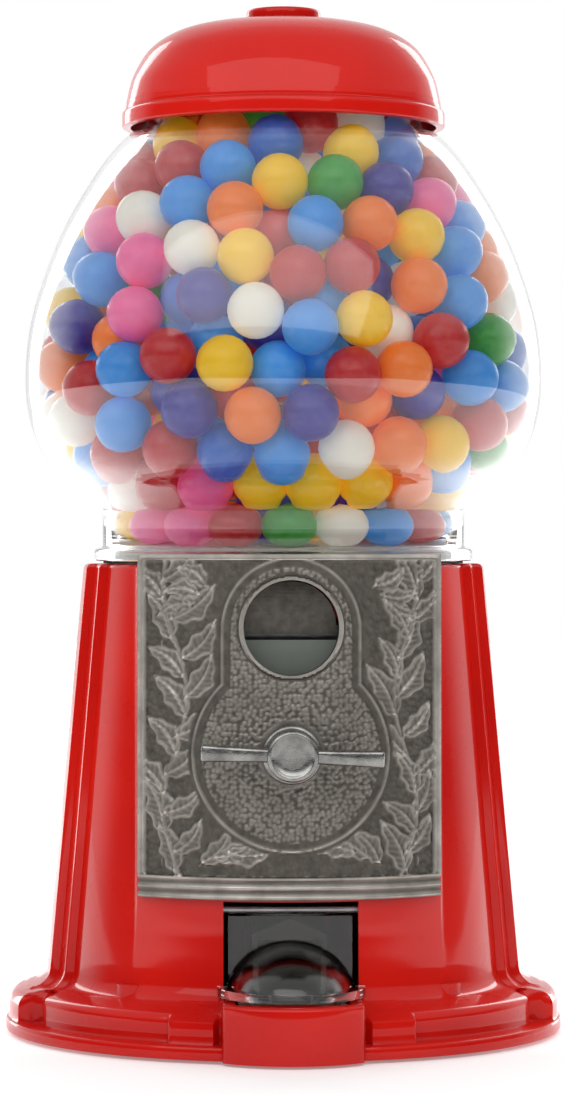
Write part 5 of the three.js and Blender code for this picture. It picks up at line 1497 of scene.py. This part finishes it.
@dataclass
class Gumballs:
    """The globe's load of gumballs, settled by a small simulation with a fixed seed."""

    diameter: float = 15.5
    count: int = 465
    wheel_top: float = 136.4
    rod: float = 2.5
    seed: int = 4

    def settle(self, wall: Profile) -> np.ndarray:
        """Let the balls fall and press apart inside the glass.

        Args:
            wall: The glass's inner outline, from the foot up.

        Returns:
            The centres, in millimetres about the rod's axis.
        """
        radius = self.diameter / 2
        room = inset([p for p in wall if p[1] > self.wheel_top - 3], radius + 0.25)
        room_r, room_z = np.array(room)[np.argsort([p[1] for p in room])].T
        rng = np.random.default_rng(self.seed)
        z = rng.uniform(self.wheel_top + radius, 258.0, self.count)
        turn = rng.uniform(0, 2 * math.pi, self.count)
        reach = np.interp(z, room_z, room_r) * np.sqrt(rng.uniform(0.03, 1.0, self.count))
        place = np.column_stack([reach * np.cos(turn), reach * np.sin(turn), z])
        for step in range(900):
            if step % 10 == 0:
                gap = np.linalg.norm(place[:, None, :] - place[None, :, :], axis=-1)
                first, second = np.where(np.triu(gap < self.diameter * 1.35, 1))
            place[:, 2] -= 0.25 * max(0.1, 1 - step / 700)
            for _ in range(3):
                between = place[second] - place[first]
                length = np.maximum(np.linalg.norm(between, axis=1), 1e-6)
                push = np.maximum(self.diameter + 0.05 - length, 0.0) * 0.5
                shift = between / length[:, None] * push[:, None] * 0.8
                np.add.at(place, first, -shift)
                np.add.at(place, second, shift)
                out = np.hypot(place[:, 0], place[:, 1])
                most = np.interp(place[:, 2], room_z, room_r)
                held = np.clip(out, self.rod + radius + 0.2, most)
                place[:, :2] *= (held / np.maximum(out, 1e-6))[:, None]
                behind = (np.abs(place[:, 0]) < 15) & (place[:, 1] > -6)
                floor = self.wheel_top + radius + 0.15 + np.where(behind, 1.9, 0.0)
                place[:, 2] = np.clip(place[:, 2], floor, 256.0)
        return place

    def colours(self, place: np.ndarray) -> np.ndarray:
        """Deal a colour to every ball, other than that of the balls that it touches where it can.

        Args:
            place: The balls' centres.

        Returns:
            One colour per ball.
        """
        rng = np.random.default_rng(self.seed + 5)
        kinds = list(BallColour)
        weight = np.array([kind.value[1] for kind in kinds], float)
        chosen = -np.ones(len(place), int)
        gap = np.linalg.norm(place[:, None, :] - place[None, :, :], axis=-1)
        for i in range(len(place)):
            near = set(chosen[(gap[i] < self.diameter * 1.15)])
            share = np.array([w * (0.25 if k in near else 1.0) for k, w in enumerate(weight)])
            chosen[i] = rng.choice(len(kinds), p=share / share.sum())
        return np.array([kinds[k].value[0] for k in chosen])

    def tree(self) -> PointTree:
        """Return the node tree that puts a ball on every point, finer where the glass shows it.

        Returns:
            The tree.
        """
        tree = PointTree("ball_on_every_point", Radius="Float", Shell="Material")
        links = tree.tree.links
        shown = tree.read("shown", "BOOLEAN")
        hidden = tree.add("FunctionNodeBooleanMath")
        hidden.operation = "NOT"
        links.new(shown, hidden.inputs[0])
        whole = tree.add("GeometryNodeJoinGeometry")
        turn = tree.add("FunctionNodeRandomValue")
        turn.data_type = "FLOAT_VECTOR"
        turn.inputs[1].default_value = (6.28, 6.28, 6.28)
        turn.inputs["Seed"].default_value = self.seed
        for chosen, level in ((shown, 3), (hidden.outputs[0], 2)):
            ball = tree.add("GeometryNodeMeshIcoSphere")
            ball.inputs["Subdivisions"].default_value = level
            links.new(tree.start.outputs["Radius"], ball.inputs["Radius"])
            spread = tree.spread(ball.outputs["Mesh"], turn.outputs[0])
            links.new(chosen, spread.inputs["Selection"])
            links.new(spread.outputs["Instances"], whole.inputs["Geometry"])
        tree.close(whole.outputs["Geometry"], "Shell")
        return tree

    def build(self, globe: GlassGlobe) -> None:
        """Settle the balls in a globe, make them and dress them.

        Args:
            globe: The globe that holds them.
        """
        wall = globe.inner()
        place = self.settle(wall)
        colour = self.colours(place)
        mesh = bpy.data.meshes.new("ball_centres")
        mesh.from_pydata(((place + np.array([0, rod_axis_y(), 0])) / 1000.0).tolist(), [], [])
        tint = mesh.attributes.new("shell_colour", "FLOAT_COLOR", "POINT")
        tint.data.foreach_set("color", np.column_stack([colour, np.ones(len(colour))]).ravel())
        reach = np.interp(place[:, 2], [p[1] for p in wall[1:]], [p[0] for p in wall[1:]])
        outer = (reach - np.hypot(place[:, 0], place[:, 1]) < self.diameter * 1.9) | (place[:, 2] > 236)
        shown = mesh.attributes.new("shown", "BOOLEAN", "POINT")
        shown.data.foreach_set("value", outer)
        item = loose_object("gumballs", mesh)
        self.tree().grow(item, Radius=self.diameter / 2000.0, Shell=SUGAR.material())
        finished(item, SUGAR, "cabinet", [], 80.0)
        LOG.info("highest ball centre %.1f, %d fine", place[:, 2].max(), int(outer.sum()))


# ------------------------------------------------------------------ screws and the works inside


@dataclass
class RoundScrews:
    """The cabinet's round-headed screws, each on the place of the plain one."""

    head: float = 2.7
    rise: float = 1.0
    shank: float = 1.3

    def screw(self, length: float) -> bpy.types.Object:
        """Return one slotted screw, its head's top at zero and its shank along +Z.

        Args:
            length: Length over all, in millimetres.

        Returns:
            The screw, as an object.
        """
        outline = [(0.0, 0.0), (1.0, 0.02), (1.9, 0.16), (2.45, 0.42), (self.head, 0.75)]
        outline += [(self.head, self.rise), (self.shank, self.rise), (self.shank, length - 0.8)]
        outline += [(0.7, length), (0.0, length)]
        item = loose_object("one_screw", turned(outline, 20).placed())
        shaped(item, [(Join.CUT, slab((-0.32, 0.32), (-4, 4), (-1.0, 0.45)))])
        for vertex in item.data.vertices:
            vertex.co.y -= rod_axis_y() / 1000.0
        return item

    def tree(self) -> PointTree:
        """Return the node tree that stands a screw on every point, turned as the point says.

        Returns:
            The tree.
        """
        tree = PointTree("screw_on_every_point", Screw="Object", Metal="Material")
        read = tree.add("GeometryNodeObjectInfo")
        tree.tree.links.new(tree.start.outputs["Screw"], read.inputs["Object"])
        spread = tree.spread(read.outputs["Geometry"], tree.read("turn", "FLOAT_VECTOR"))
        tree.close(spread.outputs["Instances"], "Metal")
        return tree

    def build_set(self, name: str, nodes: Sequence[str], length: float, tilt: float) -> None:
        """Build one set of equal screws.

        Args:
            name: Name of the piece.
            nodes: The plain screws that it stands for.
            length: Length over all, in millimetres.
            tilt: Turn about X in degrees that lays the screws along their holes.
        """
        places, turns = [], []
        rng = np.random.default_rng(len(name))
        for node in nodes:
            low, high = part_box(node)
            middle = (low + high) / 2
            head = Vector((middle.x, high.y, middle.z)) if tilt else Vector((middle.x, middle.y, low.z))
            places.append(tuple(head))
            turns.append((math.radians(tilt), 0.0, float(rng.uniform(0, math.pi)) if not tilt else 0.0))
        mesh = bpy.data.meshes.new("screw_places")
        mesh.from_pydata(places, [], [])
        turn = mesh.attributes.new("turn", "FLOAT_VECTOR", "POINT")
        turn.data.foreach_set("vector", np.array(turns).ravel())
        item = loose_object(name, mesh)
        one = self.screw(length)
        self.tree().grow(item, Screw=one, Metal=PLAIN_STEEL.material())
        bpy.data.objects.remove(one)
        finished(item, PLAIN_STEEL, "cabinet", nodes)

    def build(self) -> None:
        """Build the three sets of screws."""
        self.build_set("bottom_screws", [f"bottom_screw_{i}" for i in (1, 2, 3, 4)], 11.0, 0.0)
        self.build_set("bridge_screws", ["bridge_screw_1", "bridge_screw_2"], 9.0, 0.0)
        self.build_set("mechanism_screws", [f"mechanism_screw_{i}" for i in (1, 2, 3, 4)], 8.0, 90.0)


class KeptWorks:
    """The solids whose shape is already right, which only get their finish."""

    finishes: dict[str, Finish] = {
        finish.slot: finish
        for finish in (
            RED_ENAMEL, PEWTER, BRIGHT_METAL, PLAIN_STEEL, GLASS, SMOKED_AND_PAINTED_SHADE, WHITE_PLASTIC, GREY_PLASTIC,
            BLACK_PLASTIC, RUBBER,
        )
    }

    def build(self) -> None:
        """Dress every solid that no piece replaces."""
        slots = {part["node"]: part["material_slot"] for part in frame["record"]["subparts"]}
        for name, item in sorted(frame["nodes"].items()):
            if item.hide_render:
                continue
            finish = self.finishes[slots[name]]
            for place in item.material_slots:
                place.material = finish.material()
            LOG.info("%s keeps its solid, in %s", name, finish.name)


# ------------------------------------------------------------------ studio


@dataclass(frozen=True)
class SoftBox:
    """A rectangular studio light.

    Attributes:
        name: The light's name.
        place: Where it stands, in metres.
        aim: What it points at, in metres.
        size: Width and height, in metres.
        power: Watts.
    """

    name: str
    place: Triple
    aim: Triple
    size: Pair
    power: float

    def build(self) -> None:
        """Hang the light."""
        lamp = bpy.data.lights.new(self.name, "AREA")
        lamp.shape = "RECTANGLE"
        lamp.size, lamp.size_y = self.size
        lamp.energy = self.power
        item = bpy.data.objects.new(self.name, lamp)
        item.location = self.place
        aim = Vector(self.aim) - Vector(self.place)
        item.rotation_euler = aim.to_track_quat("-Z", "Y").to_euler()
        bpy.context.scene.collection.objects.link(item)


@dataclass
class Studio:
    """The pale floor, the soft lights and the camera."""

    distance: float = 1.107
    eye_height: float = 0.1412
    swing: float = -2.0
    lens: float = 126.7
    aim: Pair = (-0.0004, 0.1384)
    dim_centre: Triple = (0.0, -0.9, 0.0)
    dim_reach: Pair = (0.84, 1.05)
    floor_glow: Pair = (0.22, 1.0)
    front_glow: float = 0.05
    ceiling_glow: float = 0.75
    backdrop: Pair = (0.25, 0.6)
    ceiling: Pair = (0.2, 0.36)

    def floor(self) -> None:
        """Lay a wide pale floor, glowing white away from the front and plain where shadows fall."""
        mesh = bpy.data.meshes.new("floor")
        mesh.from_pydata([(-4, -4, 0), (4, -4, 0), (4, 4, 0), (-4, 4, 0)], [], [(0, 1, 2, 3)])
        item = loose_object("floor", mesh)
        sheet = ShaderSheet("pale_floor")
        sheet.set(Roughness=0.7, Emission_Color=(1.0, 1.0, 1.0, 1.0))
        sheet.colour(sheet.blend(sheet.noise(3.0, 2.0), (0.80, 0.80, 0.80), (0.84, 0.84, 0.84)))
        reach = sheet.tree.nodes.new("ShaderNodeVectorMath")
        reach.operation = "DISTANCE"
        reach.inputs[1].default_value = self.dim_centre
        sheet.join(sheet.coords.outputs["Object"], reach.inputs[0])
        glow = sheet.ramp(reach.outputs["Value"], *self.dim_reach, *self.floor_glow)
        sheet.join(glow, sheet.surface.inputs["Emission Strength"])
        mesh.materials.append(sheet.look)

    def room(self) -> None:
        """Make the room: a white backdrop, a bright ceiling, and a dim front low down."""
        world = bpy.data.worlds.new("studio_room")
        bpy.context.scene.world = world
        world.use_nodes = True
        nodes, links = world.node_tree.nodes, world.node_tree.links
        look = nodes.new("ShaderNodeTexCoord")
        split = nodes.new("ShaderNodeSeparateXYZ")
        links.new(look.outputs["Generated"], split.inputs["Vector"])
        brightest = nodes.new("ShaderNodeMath")
        brightest.operation = "MAXIMUM"
        parts = (("Y", self.backdrop, 1.0), ("Z", self.ceiling, self.ceiling_glow))
        for number, (axis, span, glow) in enumerate(parts):
            part = nodes.new("ShaderNodeMapRange")
            part.interpolation_type = "SMOOTHSTEP"
            for name, value in zip(RANGE_ENDS, (*span, self.front_glow, glow)):
                part.inputs[name].default_value = value
            links.new(split.outputs[axis], part.inputs["Value"])
            links.new(part.outputs["Result"], brightest.inputs[number])
        links.new(brightest.outputs["Value"], nodes["Background"].inputs["Strength"])
        nodes["Background"].inputs["Color"].default_value = (1.0, 1.0, 1.0, 1.0)

    def lights(self) -> None:
        """Hang one very large box above the front and a tall narrow one behind each side."""
        SoftBox("top_box", (-0.25, -1.25, 1.15), (0.0, 0.0, 0.15), (3.0, 1.1), 15.0).build()
        SoftBox("left_box", (-0.68, 1.1, 0.4), (0.0, 0.0, 0.14), (0.3, 1.3), 6.0).build()
        SoftBox("right_box", (0.68, 1.1, 0.4), (0.0, 0.0, 0.14), (0.3, 1.3), 6.0).build()

    def camera(self) -> None:
        """Set the camera in front, a little to the machine's left side."""
        axis = rod_axis_y() / 1000.0
        a = math.radians(self.swing)
        place = Vector((math.sin(a) * self.distance, axis - math.cos(a) * self.distance, self.eye_height))
        aim = Vector((self.aim[0], axis, self.aim[1])) - place
        data = bpy.data.cameras.new("front_camera")
        data.lens = self.lens
        data.sensor_width = 36.0
        data.clip_start, data.clip_end = 0.05, 20.0
        item = bpy.data.objects.new("front_camera", data)
        item.location = place
        item.rotation_euler = aim.to_track_quat("-Z", "Y").to_euler()
        bpy.context.scene.collection.objects.link(item)
        bpy.context.scene.camera = item

    def build(self) -> None:
        """Set up the studio."""
        self.floor()
        self.room()
        self.lights()
        self.camera()
        bpy.context.scene.view_settings.view_transform = "Standard"
        LOG.info("studio ready")


def main() -> None:
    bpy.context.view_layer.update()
    Studio().build()
    CabinetCasting().build()
    Faceplate().build()
    HandleSet().build()
    globe = GlassGlobe()
    globe.build()
    LidSet().build()
    ChuteFlap().build()
    Gumballs().build(globe)
    RoundScrews().build()
    KeptWorks().build()


if __name__ == "__main__":
    main()
